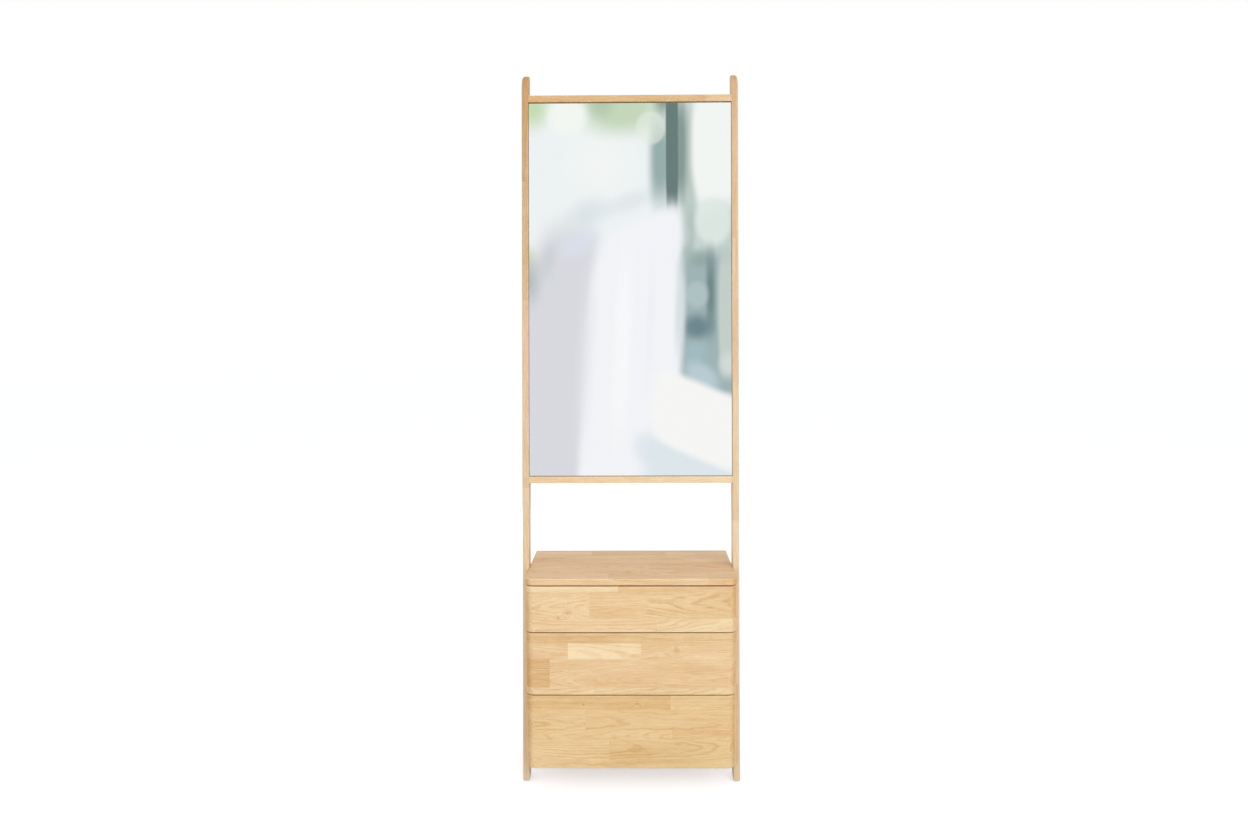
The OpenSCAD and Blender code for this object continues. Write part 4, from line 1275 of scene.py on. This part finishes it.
# Soft shapes that the mirror shows: place and half size on it, turn, squareness, core, strength, colour
CARD_SHAPES = [
    ((0.50, 0.50), (1.30, 1.00), 0, 3, 0.6, 1.0, (235, 240, 241)),
    ((0.36, 0.17), (0.22, 0.12), 0, 2, 0.3, 0.6, (242, 243, 242)),
    ((0.03, 0.02), (0.13, 0.09), 0, 2, 0.1, 0.9, (190, 216, 170)),
    ((0.46, 0.02), (0.27, 0.10), 0, 2.5, 0.3, 0.9, (190, 210, 178)),
    ((0.36, 0.01), (0.10, 0.06), 0, 2, 0.1, 0.8, (176, 196, 170)),
    ((0.20, 0.045), (0.12, 0.065), 0, 2, 0.5, 0.9, (242, 245, 240)),
    ((0.30, 0.30), (0.15, 0.06), 8, 2, 0.1, 0.6, (208, 218, 224)),
    ((0.50, 0.27), (0.20, 0.04), 10, 2, 0.1, 0.5, (212, 220, 224)),
    ((0.645, 0.16), (0.075, 0.17), 0, 3, 0.25, 1.0, (150, 173, 171)),
    ((0.66, 0.00), (0.07, 0.06), 0, 2, 0.1, 0.9, (128, 152, 132)),
    ((0.60, 0.075), (0.080, 0.050), 0, 2, 0.75, 0.55, (226, 234, 222)),
    ((0.785, 0.14), (0.07, 0.22), 0, 3, 0.3, 1.0, (178, 193, 186)),
    ((0.740, 0.13), (0.045, 0.21), 0, 3, 0.3, 1.0, (134, 154, 148)),
    ((0.91, 0.12), (0.135, 0.19), 0, 3, 0.7, 1.0, (240, 243, 240)),
    ((0.702, 0.05), (0.034, 0.265), 0, 8, 0.72, 1.0, (104, 125, 122)),
    ((0.78, 0.36), (0.06, 0.14), 0, 3, 0.2, 0.9, (160, 180, 172)),
    ((0.92, 0.38), (0.17, 0.14), 0, 3, 0.4, 0.9, (186, 202, 197)),
    ((0.90, 0.325), (0.105, 0.075), 0, 2, 0.6, 0.85, (222, 231, 227)),
    ((0.88, 0.60), (0.20, 0.22), 0, 4, 0.75, 1.0, (158, 178, 180)),
    ((0.84, 0.42), (0.09, 0.035), 0, 2, 0.1, 0.7, (142, 163, 156)),
    ((0.885, 0.51), (0.035, 0.16), 0, 3, 0.1, 0.95, (112, 134, 134)),
    ((0.82, 0.60), (0.11, 0.05), 0, 2, 0.2, 0.95, (106, 132, 140)),
    ((0.82, 0.515), (0.07, 0.045), 0, 2, 0.5, 0.75, (178, 195, 198)),
    ((0.81, 0.67), (0.08, 0.045), 0, 2, 0.3, 0.9, (160, 186, 192)),
    ((0.965, 0.56), (0.055, 0.20), 0, 4, 0.55, 0.95, (196, 206, 201)),
    ((0.97, 0.70), (0.07, 0.05), 0, 2, 0.2, 0.8, (214, 220, 217)),
    ((0.84, 0.73), (0.12, 0.05), -13, 2, 0.3, 0.9, (186, 204, 212)),
    ((0.02, 0.42), (0.09, 0.05), -30, 2, 0.1, 0.9, (212, 228, 196)),
    ((0.00, 0.55), (0.10, 0.12), -20, 2, 0.1, 0.7, (196, 202, 206)),
    ((0.17, 0.82), (0.285, 0.55), -8, 2.6, 0.78, 1.0, (214, 215, 221)),
    ((0.01, 0.475), (0.09, 0.10), 20, 2, 0.0, 0.85, (172, 184, 182)),
    ((0.10, 0.43), (0.10, 0.06), 45, 2, 0.0, 0.5, (192, 200, 202)),
    ((0.25, 0.38), (0.14, 0.05), 12, 2, 0.2, 0.7, (216, 222, 234)),
    ((0.50, 0.80), (0.255, 0.46), -6.5, 6, 0.80, 1.0, (241, 241, 245)),
    ((0.565, 0.378), (0.245, 0.080), 13, 4, 0.55, 1.0, (240, 241, 246)),
    ((0.285, 0.68), (0.065, 0.36), -6.5, 3, 0.0, 0.6, (225, 226, 231)),
    ((0.46, 0.66), (0.06, 0.36), -5, 3, 0.2, 0.8, (246, 246, 247)),
    ((0.595, 0.60), (0.03, 0.25), -5, 3, 0.1, 0.5, (232, 235, 244)),
    ((0.735, 0.56), (0.035, 0.17), -3, 3, 0.1, 0.7, (204, 215, 219)),
    ((0.80, 1.02), (0.30, 0.16), -13, 4, 0.6, 1.0, (219, 228, 233)),
    ((0.57, 0.92), (0.09, 0.06), -12, 2, 0.2, 0.7, (218, 226, 233)),
    ((0.84, 0.85), (0.27, 0.112), -13, 5, 0.75, 1.0, (244, 244, 243)),
]


def add_camera(studio):
    """The camera, yawed and pitched from the depth axis and then rolled."""
    pitch, yaw, roll = studio.pitch, studio.yaw, studio.roll
    ahead = Vector((math.sin(yaw) * math.cos(pitch), math.cos(yaw) * math.cos(pitch), -math.sin(pitch)))
    right = Vector((math.cos(yaw), -math.sin(yaw), 0))
    up = right.cross(ahead)
    right, up = (right * math.cos(roll) + up * math.sin(roll),
                 up * math.cos(roll) - right * math.sin(roll))
    camera = bpy.data.objects.new("camera", bpy.data.cameras.new("camera"))
    bpy.context.scene.collection.objects.link(camera)
    camera.data.sensor_fit, camera.data.sensor_width = "HORIZONTAL", 36
    camera.data.lens = studio.lens
    camera.matrix_world = Matrix.Translation(studio.camera_place) @ Matrix(
        (right, up, -ahead)).transposed().to_4x4()
    bpy.context.scene.camera = camera


FLOOR_REACH = 20  # from the middle to each side
FLOOR_SHADE, FLOOR_GLOW = (0.95, 0.99, 1.05), 0.5  # of the light that brings the floor near white


def add_floor(studio):
    """A wide floor that looks near white and throws its own colour of light on the object."""
    floor, reach = bmesh.new(), FLOOR_REACH
    floor.faces.new([floor.verts.new((x, y, 0)) for x, y in (
        (-reach, -reach), (reach, -reach), (reach, reach), (-reach, reach))])
    made = loose_object(floor, "floor")
    finish, shop, shader = new_material("floor")
    bounce = shop.node("ShaderNodeLightPath").outputs["Is Diffuse Ray"]
    shop.join(shop.mix(bounce, studio.floor, studio.bounce), shader.inputs["Base Color"])
    shader.inputs["Roughness"].default_value = 0.9
    shader.inputs["Specular IOR Level"].default_value = 0.0
    shader.inputs["Emission Color"].default_value = (*FLOOR_SHADE, 1)
    glow = shop.times(sees_background(shop), FLOOR_GLOW)
    shop.join(glow, shader.inputs["Emission Strength"])
    made.data.materials.append(finish)


def add_world(studio):
    """A world that lights evenly from all sides and is white where it is seen."""
    world = bpy.data.worlds.new("studio")
    bpy.context.scene.world = world
    world.use_nodes = True
    world.node_tree.nodes.clear()
    shop = Shop(world.node_tree)
    lit = shop.node("ShaderNodeBackground", (1, 1, 1), studio.world)
    seen = shop.node("ShaderNodeBackground", (1, 1, 1), 1.0)
    both = shop.node("ShaderNodeMixShader", sees_background(shop), lit.outputs[0], seen.outputs[0])
    shop.join(both.outputs[0], shop.node("ShaderNodeOutputWorld").inputs[0])


# place of each lamp, the height that it points at, and its size; the power is a setting
LAMPS = {"key": ((2.0, -3.0, 2.5), 0.9, (2.2, 2.2)), "back": ((-1.6, 3.2, 1.1), 0.9, (2.4, 2.0)),
         "fill": ((-0.9, -3.3, 1.3), 0.8, (2.0, 2.2))}


class MIRRORPART_OT_stage(bpy.types.Operator):
    """Make the camera, the floor, the soft lamps and the white background"""
    bl_idname = "mirror_part.stage"
    bl_label = "Studio"

    def execute(self, context):
        studio = context.scene.mirror_part.studio
        add_camera(studio)
        add_floor(studio)
        add_world(studio)
        for name, (place, aim, size) in LAMPS.items():
            stage_light(f"{name}_lamp", place, (0, 0, aim), size, getattr(studio, name))
        mirror_card()
        context.scene.view_settings.view_transform = "Standard"
        return {"FINISHED"}


PIECES = (MIRRORPART_OT_stage, MIRRORPART_OT_uprights, MIRRORPART_OT_rails, MIRRORPART_OT_mirror,
          MIRRORPART_OT_shelf, MIRRORPART_OT_drawer_fronts, MIRRORPART_OT_chest,
          MIRRORPART_OT_drawer_boxes, MIRRORPART_OT_runners, MIRRORPART_OT_fasteners,
          MIRRORPART_OT_pads)


class MIRRORPART_PT_pieces(bpy.types.Panel):
    """Lists the pieces of the leaning mirror with drawers"""
    bl_idname = "MIRRORPART_PT_pieces"
    bl_label = "Leaning mirror with drawers"
    bl_space_type = "VIEW_3D"
    bl_region_type = "UI"
    bl_category = "Mirror"

    def draw(self, context):
        for piece in PIECES:
            self.layout.operator(piece.bl_idname)
        part = context.scene.mirror_part
        for group in (part.oak, part.glass, part.metal, part.studio):
            box = self.layout.box()
            for name in group.__annotations__:
                box.prop(group, name)


CLASSES = (OakSettings, GlassSettings, MetalSettings, StudioSettings, MirrorPartSettings,
           *PIECES, MIRRORPART_PT_pieces)


def register():
    """Registers the classes and the scene's settings."""
    for cls in CLASSES:
        bpy.utils.register_class(cls)
    bpy.types.Scene.mirror_part = PointerProperty(type=MirrorPartSettings)


def unregister():
    """Takes the settings and the classes out again."""
    del bpy.types.Scene.mirror_part
    for cls in reversed(CLASSES):
        bpy.utils.unregister_class(cls)


def main():
    register()
    for piece in PIECES:
        category, name = piece.bl_idname.split(".")
        getattr(getattr(bpy.ops, category), name)()


if __name__ == "__main__":
    main()
